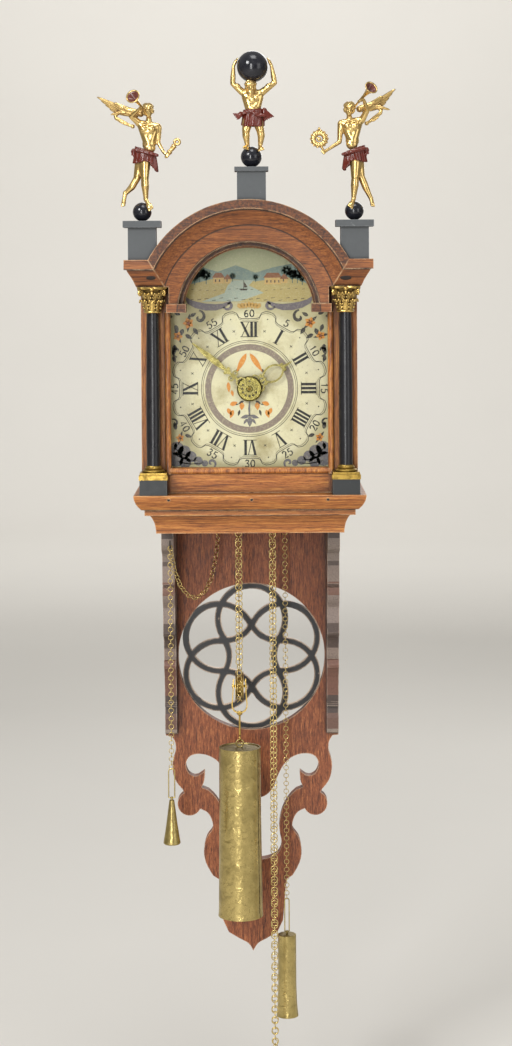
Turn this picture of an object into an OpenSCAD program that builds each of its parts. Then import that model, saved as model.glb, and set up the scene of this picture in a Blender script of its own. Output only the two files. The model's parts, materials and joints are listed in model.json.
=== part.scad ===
// Short-tailed wall clock with a sliding hood, two chain-driven trains and an alarm.
// Millimetres. Origin: hook hole in the hanging plate, wall plane at Y = 0, front towards -Y, Z up.

/* [Case] */
// Width of the backboard, the brackets and the space inside the base moulding
back_w = 221; // [195:1:240]
// Thickness of the backboard
board_t = 15; // [12:0.5:20]
// Height of the base moulding's top edge, measured down from the hook hole
base_drop = 316; // [290:1:340]
// Thickness of the two brackets
bracket_t = 15; // [10:0.5:20]
// Depth of the brackets at the top
bracket_d = 90; // [70:1:110]
// Thickness of the seat board that carries the movement
seat_t = 18; // [14:0.5:24]

/* [Tail] */
// Radius of the round opening in the backboard
rosette_r = 93.7; // [80:0.1:95]
// Height of the round opening's centre, measured down from the hook hole
rosette_drop = 541; // [520:1:560]
// Mean radius of each ring of the tracery
tracery_ring_r = 43; // [38:0.1:45]
// Width of the tracery's bands
tracery_band = 8.2; // [6:0.1:10]
// Thickness of the tracery
tracery_t = 6; // [4:0.5:9]

/* [Hood] */
// Width over the hood's side boards
hood_w = 260; // [245:1:290]
// Height of the hood from the base moulding to the top of the ledges
hood_h = 281.2; // [270:0.1:300]
// Depth from the wall to the face of the front frame
hood_front_d = 172; // [165:1:190]
// Thickness of the side boards
side_t = 12; // [9:0.5:14]
// Thickness of the front frame
frame_t = 16; // [12:0.5:20]
// Width of the square part of the front opening
opening_w = 189.6; // [180:0.1:195]
// Radius of the arch opening
arch_r = 78.5; // [70:0.1:82]
// How far the flat arch board stands out from the front frame
fascia_t = 22; // [12:0.5:26]
// Projection of the ledges and of the arch's outer band
ledge_out = 18; // [12:0.5:22]
// Diameter of the columns
column_dia = 16; // [12:0.5:20]

/* [Dial and hands] */
// Height of the hand arbor, measured down from the hook hole
dial_drop = 191.5; // [185:0.5:200]
// Thickness of the dial plate
dial_t = 1.6; // [1:0.1:3]
// Length of the minute hand from the arbor to the tip
minute_len = 89; // [80:0.5:92]
// Length of the hour hand from the arbor to the tip
hour_len = 61; // [50:0.5:66]

/* [Chains and weights] */
// Mean radius of a link of the main chain
main_link_r = 3.95; // [3.6:0.05:4.4]
// Wire radius of the main chain
main_wire_r = 0.55; // [0.4:0.05:0.7]
// Mean radius of a link of the alarm chain
thin_link_r = 2.95; // [2.6:0.05:3.3]
// Wire radius of the alarm chain
thin_wire_r = 0.4; // [0.3:0.05:0.5]
// Pitch radius of the main sprockets
sprocket_r = 21; // [18:0.5:24]
// Pitch radius of the pulley wheel
pulley_r = 17; // [14:0.5:20]
// Diameter of the main weight at its top
weight_dia = 52; // [44:0.5:58]
// Length of the main weight
weight_len = 210; // [180:1:230]
// Lowest point of the endless chain, measured down from the hook hole
tail_drop = 1047; // [1000:1:1080]

/* [Hidden] */

// Clearances
seat_gap = 0.1;
slide_gap = 0.3;
bore_gap = 0.08;

// Planes and edges of the case
back_x = back_w / 2;
hood_x = hood_w / 2;
base_z = -base_drop;
base_h = 48;
seat_z = base_z - 18;
ledge_z = base_z + hood_h;
front_y = -hood_front_d;
frame_back_y = front_y + frame_t;
fascia_y = front_y - fascia_t;
rosette_z = -rosette_drop;
bracket_foot_z = rosette_z - 99;

// Mouldings of the hood
fillet_h = 11.8;
cornice_h = 32.4;
cornice_z = ledge_z - cornice_h;
arch_z = ledge_z - 64.1;
bead_w = 6.5;
fascia_r = arch_r + 26.9;
cove_r = fascia_r + 19.2;
band_r = cove_r + 10.8;
roof_t = 8;
roof_r = cove_r - 0.6;
mitre_x0 = sqrt(pow(fascia_r, 2) - pow(cornice_z - arch_z, 2)) - 0.5;
mitre_x1 = sqrt(pow(band_r, 2) - pow(ledge_z - arch_z, 2));
impost_top = arch_z + 11.3;
impost_foot = arch_z + 1.7;
impost_x = 95.5;
opening_foot = base_z + 30.4;
column_x = hood_x - 14.7;
column_y = front_y - 12;
plinth_h = 18.5;
slab_h = 8.5;
capital_z = cornice_z - 31;
column_foot = base_z + plinth_h + slab_h + 8;

// Dial and hands
dial_z = -dial_drop;
dial_y = -138.4;
hand_t = 1.2;
minute_angle = 309;
hour_angle = 57.5;
hub_r = 2;
pipe_r = 3.6;

// Movement
bar_t = 4;
bar_front = -124;
bar_mid = -86;
bar_back = -50;
plate_x = 68;
bottom_plate_z = seat_z + 24;
top_plate_z = dial_z + 64;
plate_t = 3;
sprocket_x = 6;
sprocket_z = dial_z - 48.5;
going_y = -105;
strike_y = -71;
strand_y = (going_y + strike_y) / 2;
great_teeth = 60;
pinion_teeth = 10;
second_teeth = 54;
third_teeth = 8;
great_gap = norm([sprocket_x, dial_z - sprocket_z]);
great_m = 2 * great_gap / (great_teeth + pinion_teeth);
escape_z = dial_z + 32;
second_m = 2 * (escape_z - dial_z) / (second_teeth + third_teeth);
anchor_z = dial_z + 53;
motion_gap = 21.6;
bell_z = top_plate_z + 28;
bell_r = 38;
hammer_x = -58;
hammer_y = -66;
alarm_y = -42;
alarm_x = sprocket_x + 16;
alarm_r = 21;

// Chains: left and right strands of the trains, the alarm and the loop
left_x = sprocket_x - sprocket_r;
right_x = sprocket_x + sprocket_r;
main_pitch = 2 * (main_link_r - main_wire_r) - 0.1;
thin_pitch = 2 * (thin_link_r - thin_wire_r) - 0.1;
pulley_z = rosette_z - 24;
tail_turn_z = -tail_drop + pulley_r;
alarm_right_x = alarm_x + alarm_r;
alarm_left_x = alarm_x - alarm_r;
alarm_hook_z = rosette_z - 304;
hook_x = -(back_x - bracket_t / 2 - 4);
hook_y = -board_t - bracket_d - 13;
hook_z = seat_z - 54;
loop_hole_x = -40;
counter_hook_z = rosette_z - 121;
hang = 0.9 + thin_wire_r + 0.05 - thin_link_r;
loop_route = [[alarm_left_x, alarm_y, sprocket_z], [loop_hole_x, alarm_y, seat_z - seat_t / 2], [-41, -46, -380],
    [-44, -53, -408], [-50, -64, -434], [-57, -75, -448], [-68, -88, -455], [-78, -97, -450], [-87, -103, -438],
    [-94, -107, -418], [hook_x, hook_y + 8, hook_z + hang + 0.2]];

// Curves
function spline(a, b, c, d, t) = 0.5 * (2 * b + (c - a) * t
    + (2 * a - 5 * b + 4 * c - d) * t * t + (3 * b - a - 3 * c + d) * t * t * t);
function smooth(p, n = 4) = concat([for (i = [0:len(p) - 2]) for (k = [0:n - 1])
    spline(p[max(i - 1, 0)], p[i], p[i + 1], p[min(i + 2, len(p) - 1)], k / n)], [p[len(p) - 1]]);
function mirrored(p) = [for (i = [len(p) - 1:-1:0]) [-p[i][0], p[i][1]]];
function route_len(p, i = 0) = i >= len(p) - 1 ? 0 : norm(p[i + 1] - p[i]) + route_len(p, i + 1);
function route_at(p, s, i = 0) =
    let (d = norm(p[i + 1] - p[i]))
    s <= d || i >= len(p) - 2 ? p[i] + (p[i + 1] - p[i]) * s / d : route_at(p, s - d, i + 1);
function route_way(p, s) =
    let (v = route_at(p, s + 1) - route_at(p, max(s - 1, 0))) v / norm(v);

// An outline in the XZ plane, thickened from y_back towards the front
module slab_y(y_back, t) {
    translate([0, y_back, 0]) rotate([90, 0, 0]) linear_extrude(t) children();
}

// A (radius, depth) profile turned about a line along Y through x, z; depth grows to the front
module turned_y(x, z, y) {
    translate([x, y, z]) rotate([90, 0, 0]) rotate_extrude($fn = 64) children();
}

module rod_y(x, z, y_back, y_front, r) {
    translate([x, y_back, z]) rotate([90, 0, 0]) cylinder(h = y_back - y_front, r = r, $fn = 32);
}

module ring_2d(r, band) {
    difference() {
        circle(r + band / 2, $fn = 96);
        circle(r - band / 2, $fn = 96);
    }
}

// A profile of (projection, height) run along the front and both sides with mitred corners
module mitred(ref_x, ref_y, back_y, reach = 60) {
    intersection() {
        translate([ref_x + reach, ref_y, 0]) rotate([90, 0, -90]) linear_extrude(2 * (ref_x + reach)) children();
        translate([0, 0, -1000]) linear_extrude(2000) polygon([[-ref_x + reach, ref_y + reach],
            [ref_x - reach, ref_y + reach], [ref_x + reach, ref_y - reach], [-ref_x - reach, ref_y - reach]]);
    }
    for (s = [0, 1]) mirror([s, 0, 0]) intersection() {
        translate([ref_x, back_y, 0]) rotate([90, 0, 0]) linear_extrude(back_y - ref_y + reach) children();
        translate([0, 0, -1000]) linear_extrude(2000) polygon([[ref_x - reach, back_y],
            [ref_x - reach, ref_y + reach], [ref_x + reach, ref_y - reach], [ref_x + reach, back_y]]);
    }
}

// Case

tail_edge = concat(
    [[back_x, -95], [back_x, -101]], smooth([[103, -102], [98.5, -110], [98, -121], [102, -136], [101, -151], [96.5, -162],
        [89.3, -170.5]], 3),
    [[80.6, -188.8]], smooth([[66, -196], [58, -200], [52.5, -209], [51, -221], [58.6, -232], [62.5, -249],
        [60, -265], [51, -281.4]], 3),
    smooth([[43, -286.5], [41, -309], [38.3, -339]], 3),
    smooth([[31.2, -354], [18, -362], [6.1, -368.7], [0, -378.3]], 3));
tail_gap = concat(
    smooth([[0, -182], [14, -180], [25, -171], [32, -155], [38, -143], [46, -133], [58, -126.5], [70.8, -125],
        [81, -129], [85, -139], [81.6, -149], [75, -153.5], [68.9, -153]], 3),
    smooth([[60.8, -147.5], [61.5, -159], [65, -168]], 3),
    smooth([[56, -171.7], [47, -180.7], [38, -197], [34, -219], [37, -241], [31, -254], [16, -260],
        [0, -261]], 3));

// The board's two lengths meet behind the seat board
board_joint_z = base_z - 27;

module board() {
    difference() {
        union() {
            translate([0, 0, rosette_z]) slab_y(0, board_t) polygon(concat(tail_edge, mirrored(tail_edge)));
            for (s = [-1, 1]) rod_y(s * 80.6, rosette_z - 188.8, 0, -board_t, 15.3);
            translate([-back_x, -board_t, rosette_z - 101])
                cube([back_w, board_t, ledge_z - rosette_z + 101 - 12]);
            intersection() {
                rod_y(0, arch_z, 0, -board_t, roof_r - roof_t - 3);
                translate([-back_x, -board_t, ledge_z - 20]) cube([back_w, board_t, 100]);
            }
        }
        rod_y(0, rosette_z, 1, -board_t - 1, rosette_r);
        translate([0, 0, rosette_z]) slab_y(1, board_t + 2) polygon(concat(tail_gap, mirrored(tail_gap)));
        translate([-15, -3, -30]) cube([30, 10, 40]);
        translate([-9, -board_t - 1, -9]) cube([18, board_t, 18]);
    }
}

module backboard() {
    color("sienna") intersection() {
        board();
        translate([-back_w, -board_t - 1, board_joint_z]) cube([2 * back_w, board_t + 2, 600]);
    }
}

module tail_board() {
    color("sienna") difference() {
        board();
        translate([-back_w, -board_t - 1, board_joint_z - seat_gap]) cube([2 * back_w, board_t + 2, 600]);
    }
}

// Six interlaced rings with an open centre, their outer edges seated in the round opening
ring_place = rosette_r + 0.8 - tracery_ring_r - tracery_band / 2;
link_r = 35.6;

module rosette_tracery() {
    color("#2b2a2c") slab_y(-6, tracery_t) translate([0, rosette_z]) intersection() {
        circle(rosette_r - seat_gap, $fn = 96);
        union() {
            difference() {
                for (k = [0:5]) rotate(30 + 60 * k) translate([ring_place, 0]) ring_2d(tracery_ring_r, tracery_band);
                circle(35.5, $fn = 96);
            }
            for (k = [0:5]) rotate(60 * k) intersection() {
                translate([28.7 + link_r, 0]) ring_2d(link_r, tracery_band);
                polygon([[0, 0], [42, -24.2], [42, 24.2]]);
            }
        }
    }
}

module hanging_plate() {
    color("dimgray") difference() {
        translate([-15 + seat_gap, -3, -30 + seat_gap]) cube([30 - 2 * seat_gap, 3, 40 - 2 * seat_gap]);
        rod_y(0, 0, 1, -4, 5);
    }
}

// Depth in front of the board against height above the foot: coves and beads that step back to the board
bracket_edge = concat([[0, 0], [11, 4]], smooth([[12.5, 22], [10, 37]], 2), [[15.5, 38], [15.5, 41]],
    smooth([[14, 43], [16, 58], [22, 76], [31, 88]], 3), smooth([[34, 90], [35, 94], [33, 99]], 2),
    smooth([[29, 101], [31, 116], [38, 128], [50, 134]], 3), [[52, 137], [52, 169]],
    smooth([[54, 172], [62, 180], [66, 188], [65, 196]], 3), [[61, 197], [61, 200], [66, 201], [66, 231]],
    smooth([[67, 233], [70, 240], [79, 243]], 3), smooth([[81, 244], [87, 247], [bracket_d, 253]], 3));

module brackets() {
    top = seat_z - seat_t - bracket_foot_z;
    color("#7b6a60") for (x = [-back_x, back_x - bracket_t]) translate([x, -board_t, bracket_foot_z])
        rotate([90, 0, 90]) linear_extrude(bracket_t)
            polygon([for (p = concat(bracket_edge, [[bracket_d, top], [0, top]])) [-p[0], p[1]]]);
}

base_ref_y = front_y - 18;
module peg_at(x) {
    translate([x, base_ref_y - 8.6, base_z - 5]) rotate([-90, 0, 0]) cylinder(h = 9, r = 1.7, $fn = 24);
}

module base_moulding() {
    d = hood_x - back_x;
    color("#b97a35") difference() {
        mitred(hood_x, base_ref_y, 0) polygon(concat(
            [[-d, base_z], [-d, base_z - base_h], [-16.6, base_z - base_h]],
            smooth([[-16.6, base_z - 45], [-15, base_z - 36], [-12, base_z - 29], [-9.5, base_z - 25.5]], 3),
            [[-3.6, base_z - 25.2], [-3.6, base_z - 18.6], [-1.5, base_z - 18.2]],
            smooth([[0, base_z - 18], [4.5, base_z - 13], [7.8, base_z - 7], [9, base_z - 2]], 3),
            [[9, base_z]]));
        for (x = peg_places) peg_at(x);
    }
}

peg_places = [-97, 2, 93];
module moulding_pegs() {
    color("#3a2418") for (x = peg_places) peg_at(x);
}

module seat_board() {
    front = base_ref_y + hood_x - back_x;
    color("#8a5a34") difference() {
        translate([-back_x, front, seat_z - seat_t]) cube([back_w, -board_t - front, seat_t]);
        for (x = [left_x, right_x])
            translate([x - 8, going_y - 11, seat_z - seat_t - 1]) cube([16, strike_y - going_y + 22, seat_t + 2]);
        for (x = [loop_hole_x, alarm_right_x])
            translate([x, alarm_y, seat_z - seat_t - 1]) cylinder(h = seat_t + 2, r = 7, $fn = 32);
    }
}

// Wire hook driven into the front edge of the left bracket
module chain_hook() {
    bend = 3;
    color("dimgray") translate([hook_x, 0, hook_z]) {
        rod_y(0, 0, -board_t - bracket_d, hook_y, 0.9);
        translate([0, hook_y, bend]) rotate([0, 90, 0]) rotate([0, 0, -90]) rotate_extrude(angle = 90, $fn = 48)
            translate([bend, 0]) circle(0.9, $fn = 16);
        translate([0, hook_y - bend, bend]) cylinder(h = 6, r = 0.9, $fn = 24);
    }
}

// Hood

opening_x = opening_w / 2;

module opening_2d() {
    translate([-opening_x, opening_foot]) square([opening_w, impost_foot - opening_foot]);
    intersection() {
        translate([0, arch_z]) circle(arch_r, $fn = 96);
        translate([-arch_r - 1, impost_foot - 1]) square([2 * arch_r + 2, 200]);
    }
}

module hood_front() {
    color("#96592f") slab_y(frame_back_y, frame_t) difference() {
        union() {
            translate([-hood_x, base_z + slide_gap]) square([hood_w, hood_h - slide_gap]);
            intersection() {
                translate([0, arch_z]) circle(cove_r, $fn = 96);
                translate([-hood_x, ledge_z - 1]) square([hood_w, 200]);
            }
        }
        opening_2d();
    }
}

// Window in each side board, with a rabbet for its pane on the inner face
side_foot = 34;
side_head = 60;
side_post = 24;
side_back_y = -2;
rabbet = 4;
pane_t = 2;

module side_window(grow, x0, x1) {
    translate([x0, frame_back_y + side_post - grow, base_z + side_foot - grow])
        cube([x1 - x0, side_back_y - frame_back_y - 2 * (side_post - grow), hood_h - side_foot - side_head + 2 * grow]);
}

module hood_sides() {
    inner_x = hood_x - side_t;
    color("#96592f") for (s = [0, 1]) mirror([s, 0, 0]) difference() {
        translate([inner_x, frame_back_y, base_z + slide_gap])
            cube([side_t, side_back_y - frame_back_y, hood_h - roof_t - slide_gap]);
        side_window(0, inner_x - 1, hood_x + 1);
        side_window(rabbet, inner_x - 1, inner_x + pane_t + 1);
    }
}

module side_glass() {
    inner_x = hood_x - side_t;
    color("lightcyan", 0.35) for (s = [0, 1]) mirror([s, 0, 0])
        side_window(rabbet - seat_gap, inner_x + 1, inner_x + 1 + pane_t);
}

// Flat boards over the sides and a barrel over the arch
module hood_roof() {
    deep = side_back_y - frame_back_y;
    inner = roof_r - roof_t;
    color("#7b4a2c") difference() {
        union() {
            intersection() {
                rod_y(0, arch_z, side_back_y, frame_back_y, roof_r);
                translate([-hood_x, frame_back_y - 1, ledge_z - roof_t]) cube([hood_w, deep + 2, 200]);
            }
            translate([-hood_x, frame_back_y, ledge_z - roof_t]) cube([hood_w, deep, roof_t]);
        }
        rod_y(0, arch_z, side_back_y + 1, frame_back_y - 1, inner);
    }
}

// Where the arch band meets the ledges: a mitre from the cornice's foot to the ledge's top
mitre_slope = (ledge_z - cornice_z) / (mitre_x1 - mitre_x0);
module arch_side_2d() {
    far = 90;
    polygon([[-impost_x, impost_foot], [impost_x, impost_foot], [impost_x, cornice_z], [mitre_x0, cornice_z],
        [mitre_x0 + far, cornice_z + far * mitre_slope], [-mitre_x0 - far, cornice_z + far * mitre_slope],
        [-mitre_x0, cornice_z], [-impost_x, cornice_z]]);
}

cove_curve = smooth([[0, 4], [3.2, 5.6], [8, 8], [12.6, 11], [16.4, 13.6], [cove_r - fascia_r, 15]], 2);

module arch_moulding() {
    color("#a8643a") {
        intersection() {
            turned_y(0, arch_z, front_y) polygon(concat(
                [[arch_r, 0], [arch_r, 6], [arch_r + 2, 8], [arch_r + bead_w, 8], [arch_r + bead_w, fascia_t]],
                [for (p = cove_curve) [fascia_r + p[0], fascia_t + p[1]]],
                [[cove_r, fascia_t + ledge_out], [band_r, fascia_t + ledge_out], [band_r, 0]]));
            slab_y(0, 400) arch_side_2d();
        }
        for (s = [0, 1]) mirror([s, 0, 0]) translate([arch_r - 3.6, fascia_y - 3, impost_foot - 0.6])
            cube([impost_x - arch_r + 6.6, fascia_t + 3, impost_top - impost_foot + 0.6]);
    }
}

module ledge_mouldings() {
    color("#a8643a") difference() {
        mitred(hood_x, fascia_y, side_back_y) polygon(concat(
            [[0, cornice_z]], [for (p = cove_curve) [p[1], cornice_z + p[0] * (cornice_h - fillet_h) / (cove_r - fascia_r)]],
            [[ledge_out, ledge_z - fillet_h], [ledge_out, ledge_z], [0, ledge_z]]));
        slab_y(1, 400) arch_side_2d();
    }
    color("#a8643a") for (s = [0, 1]) mirror([s, 0, 0]) difference() {
        translate([impost_x, fascia_y, cornice_z]) cube([hood_x - impost_x, fascia_t, cornice_h]);
        slab_y(1, 400) arch_side_2d();
    }
}

module front_glass() {
    color("lightcyan", 0.35) slab_y(frame_back_y + pane_t, pane_t) union() {
        translate([-opening_x - 6, opening_foot - 6]) square([opening_w + 12, impost_foot - opening_foot + 6]);
        translate([0, arch_z]) circle(arch_r + 6, $fn = 96);
    }
}

// Columns with a slight swell
module columns() {
    r = column_dia / 2;
    h = capital_z - column_foot;
    color("#2a2826") for (s = [-1, 1]) translate([s * column_x, column_y, column_foot])
        rotate_extrude($fn = 64) polygon(concat([[0, 0]],
            smooth([[r, 0], [r + 0.3, h * 0.35], [r - 0.3, h * 0.75], [r - 0.8, h]], 3), [[0, h]]));
}

// Bell-shaped capital with two rows of curling leaves, corner scrolls and a square top
capital_h = 31;
module capital_leaf(r0, z0, z1, spread, wide) {
    rotate([0, 0, -wide / 2]) rotate_extrude(angle = wide, $fn = 64) polygon(smooth(
        [[r0, z0], [r0 + 0.8, (z0 + z1) / 2], [r0 + spread, z1 - 1.5], [r0 + spread + 1.6, z1 - 2.6],
            [r0 + spread + 2.2, z1 - 1], [r0 + spread + 0.8, z1 + 0.6], [r0 - 1, z1 - 1], [r0 - 2, z0]], 2));
}

module capitals() {
    color("#c9a33a") for (s = [-1, 1]) translate([s * column_x, column_y, capital_z]) difference() {
        union() {
            rotate_extrude($fn = 64) polygon(concat([[0, 0]], smooth([[10, 0], [10.6, 1.5], [10, 3], [8.6, 4],
                [8.8, 14], [10.5, 22], [13.5, capital_h - 3]], 3), [[0, capital_h - 3]]));
            translate([0, 0, capital_h - 3]) linear_extrude(3) difference() {
                square(35, center = true);
                for (k = [0:3]) rotate(90 * k) translate([46, 0]) circle(31, $fn = 64);
            }
            for (k = [0:5]) rotate([0, 0, 60 * k]) capital_leaf(9, 2.4, 15, 2.4, 46);
            for (k = [0:5]) rotate([0, 0, 60 * k + 30]) capital_leaf(9.6, 9, 23, 3.6, 40);
            for (k = [0:3]) rotate([0, 0, 90 * k + 45]) translate([15, 1.6, capital_h - 6.5])
                rotate([90, 0, 0]) cylinder(h = 3.2, r = 4, $fn = 32);
        }
        translate([-30, front_y - column_y, -5]) cube([60, 30, 60]);
    }
}

module column_bases() {
    color("#b09a50") for (s = [-1, 1]) translate([s * column_x, column_y, base_z + plinth_h]) difference() {
        union() {
            translate([-17.2, -14, 0]) cube([34.4, 40, slab_h - 3]);
            translate([-16, -13, slab_h - 3]) cube([32, 40, 3]);
            translate([0, 0, slab_h]) rotate_extrude($fn = 64) polygon(concat([[0, 0]],
                smooth([[12.4, 0], [13.4, 1.6], [12, 3.2], [10, 4], [10.6, 5.4], [9.4, 6.8]], 2), [[8.8, 8], [0, 8]]));
        }
        translate([-30, front_y - column_y, -5]) cube([60, 40, 60]);
    }
}

module plinths() {
    color("#23262a") for (s = [-1, 1])
        translate([s * column_x - 16.4, column_y - 13, base_z + slide_gap])
            cube([32.8, front_y - column_y + 13, plinth_h - slide_gap]);
}

// Pedestals scribed to the arch, with oversailing caps
pedestal_x = hood_x - 3.5;
pedestal_y = fascia_y + 3;
pedestal_h = 38.6;
pedestal_cap = 7.9;
centre_x = 4;
centre_cap_z = arch_z + 169.1;
module pedestals() {
    color("#5d6063") difference() {
        union() {
            for (s = [-1, 1]) translate([s * pedestal_x, pedestal_y, ledge_z]) {
                translate([-16.6, -15, 0]) cube([33.2, 30, pedestal_h]);
                translate([-22.4, -19, pedestal_h]) cube([44.8, 38, pedestal_cap]);
            }
            translate([centre_x - 17.2, pedestal_y - 15, arch_z + band_r - 8]) cube([34.4, 30, 41.7]);
            translate([centre_x - 20.2, pedestal_y - 18, centre_cap_z]) cube([40.4, 36, 5]);
        }
        rod_y(0, arch_z, 0, -400, band_r + seat_gap);
    }
}

ball_r = 11.3;
centre_ball_r = 12.6;
side_ball_z = ledge_z + pedestal_h + pedestal_cap + ball_r - 0.3;
centre_ball_z = centre_cap_z + 5 + centre_ball_r - 0.3;
module seated_ball(x, z, r, floor_z) {
    difference() {
        translate([x, pedestal_y, z]) sphere(r, $fn = 64);
        translate([x - r, pedestal_y - r, floor_z - 2 * r]) cube(2 * r);
    }
}

module finial_balls() {
    color("#15161c") {
        for (s = [-1, 1]) seated_ball(s * pedestal_x, side_ball_z, ball_r, ledge_z + pedestal_h + pedestal_cap);
        seated_ball(centre_x, centre_ball_z, centre_ball_r, centre_cap_z + 5);
    }
}

// Carved figures: limbs are blends between balls
module limb(a, ra, b, rb, fn = 10) {
    hull() {
        translate(a) sphere(ra, $fn = fn);
        translate(b) sphere(rb, $fn = fn);
    }
}

globe_r = 18.7;
globe_z = centre_ball_z + 107.5;
module globe() {
    color("#15161c") translate([centre_x + 2, pedestal_y, globe_z]) sphere(globe_r, $fn = 64);
}

// A standing bearer with raised arms; heights are counted from the ball's centre
module globe_bearer() {
    color("#d9a93f") translate([centre_x, pedestal_y, centre_ball_z]) difference() {
        bearer_body();
        translate([2, 0, globe_z - centre_ball_z]) sphere(globe_r + 0.1, $fn = 48);
        sphere(centre_ball_r + 0.1, $fn = 48);
    }
}

module bearer_body() {
    union() {
        limb([0, -6, 87], 6.6, [0, -7, 83], 6);
        limb([0, -3, 80], 4, [0, 0, 74], 4.4);
        hull() {
            translate([-8, 0, 74]) sphere(4.4, $fn = 10);
            translate([8, 0, 74]) sphere(4.4, $fn = 10);
            translate([0, -1, 60]) sphere(7, $fn = 10);
        }
        hull() {
            translate([-5, 0, 55]) sphere(5.6, $fn = 10);
            translate([5, 0, 55]) sphere(5.6, $fn = 10);
            translate([-6, 0, 40]) sphere(6.6, $fn = 10);
            translate([6, 0, 40]) sphere(6.6, $fn = 10);
        }
        for (s = [-1, 1]) {
            limb([s * 11, 0, 75], 4, [s * 23, -2, 86], 3.4);
            limb([s * 23, -2, 86], 3.4, [s * 20.5, -3, 108], 2.6);
            limb([s * 20.5, -3, 108], 2.8, [s * 19.4, -3, 114], 2.6);
            limb([s * 5, 0, 42], 5.4, [s * 6.6, -2, 26], 4.2);
            limb([s * 6.6, -2, 26], 4, [s * 6.2, 0, 12.4], 2.6);
            limb([s * 5.6, 0, 13.4], 2.5, [s * 7, -8, 12.6], 2);
            hull() {
                translate([s * 11, 0, 52]) sphere(3.4, $fn = 8);
                translate([s * 18, -1, 46]) sphere(3.6, $fn = 8);
                translate([s * 15, 0, 38]) sphere(2.6, $fn = 8);
            }
        }
    }
}

// Winged herald on a ball with a raised trumpet; heights are counted from the ball's centre
module herald() {
    limb([8, -1, 119], 6.4, [8, -2, 115], 5.6);
    limb([8, 0, 112], 3.6, [7, 0, 106], 4);
    hull() {
        translate([0, 0, 103]) sphere(4.4, $fn = 10);
        translate([14, 0, 103]) sphere(4.4, $fn = 10);
        translate([5, 0, 82]) sphere(6.6, $fn = 10);
    }
    hull() {
        translate([5, 0, 80]) sphere(7.4, $fn = 10);
        translate([-3, 0, 56]) sphere(7.4, $fn = 10);
        translate([11, 0, 54]) sphere(6.4, $fn = 10);
        translate([-9, 2, 50]) sphere(4, $fn = 8);
    }
    limb([7, -1, 56], 6.2, [6, -3, 33], 4.4);
    limb([6, -3, 33], 4.2, [4.6, 0, 14.6], 2.7);
    limb([4.6, 0, 14.4], 2.6, [7, -8, 11.2], 2);
    limb([-4, 1, 56], 6, [-12, 2, 32], 4.2);
    limb([-12, 2, 32], 4, [-21, 4, 12], 2.6);
    limb([-21, 4, 12], 2.4, [-23, -2, 7], 2);
    limb([14, 0, 103], 4, [24, -2, 84], 3.2);
    limb([24, -2, 84], 3.2, [29.8, -5, 67], 2.8);
    limb([-1, 0, 103], 4, [-9, -6, 112], 3.2);
    limb([-9, -6, 112], 3.1, [1, -9, 122], 2.6);
    limb([-1, 2, 103], 4, [-6, 7, 110], 3.4);
    hull() {
        translate([-3, 7, 113]) sphere(3.2, $fn = 8);
        translate([-22, 8, 128]) sphere(2.6, $fn = 8);
        translate([-8, 7, 100]) sphere(3, $fn = 8);
    }
    limb([-20, 8, 126], 3.2, [-51, 9, 138], 1.6, 8);
    limb([-16, 8, 119], 3.4, [-42, 9, 126], 1.8, 8);
    limb([-12, 8, 111], 3.6, [-31, 9, 114], 2.4, 8);
}

module trumpet(from, to) {
    way = to - from;
    long = norm(way);
    translate(from) rotate([acos(way[2] / long), 0, atan2(way[0], -way[1])]) rotate_extrude($fn = 16)
        polygon([[0, 0], [1.6, 0], [1.3, long / 2], [2.2, long - 8], [4.6, long - 3], [8, long - 0.6],
            [7.4, long], [3.6, long - 2], [0, long - 5]]);
}

module torch() {
    rotate([0, 62, 0]) rotate_extrude($fn = 14) polygon([[0, 0], [1.8, 0], [2.6, 14], [3.6, 16], [3.4, 18],
        [1.6, 22], [0, 24]]);
}

module wreath() {
    rotate([90, 0, 0]) rotate_extrude($fn = 20) translate([7.4, 0]) circle(2.2, $fn = 8);
}

module herald_left() {
    color("#d9a93f") translate([-pedestal_x, pedestal_y, side_ball_z]) {
        herald();
        trumpet([5.4, -6, 118.4], [-7.9, -40, 133.9]);
        translate([26, -6, 64]) torch();
    }
}

module herald_right() {
    color("#d9a93f") translate([pedestal_x, pedestal_y, side_ball_z]) mirror([1, 0, 0]) {
        herald();
        trumpet([1, -8.4, 121.4], [-18.8, -38, 142.6]);
        translate([34, -6, 76]) wreath();
    }
}

// Movement

module movement_plates() {
    color("#a08545") for (z = [bottom_plate_z, top_plate_z - plate_t]) difference() {
        translate([-plate_x, bar_front - 6, z]) cube([2 * plate_x, bar_back - bar_front + 10, plate_t]);
        for (x = [left_x, right_x]) if (z < dial_z) translate([x - 8, going_y - 11, z - 1])
            cube([16, strike_y - going_y + 22, plate_t + 2]);
        translate([hammer_x, hammer_y, z - 1]) cylinder(h = plate_t + 2, r = 2 + bore_gap, $fn = 32);
    }
}

pillar_x = plate_x - 8;
module movement_pillars() {
    h = top_plate_z - plate_t - bottom_plate_z - plate_t;
    foot = bottom_plate_z - seat_z;
    color("#a08545") for (x = [-pillar_x, pillar_x], y = [bar_front, bar_back - 2]) {
        translate([x, y, bottom_plate_z + plate_t]) rotate_extrude($fn = 48) polygon(concat([[0, 0]],
            smooth([[4.5, 0], [4.5, 6], [3, 10], [3.4, h / 2 - 12], [5.6, h / 2], [3.4, h / 2 + 12], [3, h - 10],
                [4.5, h - 6], [4.5, h]], 2), [[0, h]]));
        translate([x, y, seat_z]) rotate_extrude($fn = 48)
            polygon([[0, 0], [6, 0], [6, 3], [3.4, 8], [3.4, foot - 4], [4.6, foot], [0, foot]]);
    }
}

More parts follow.
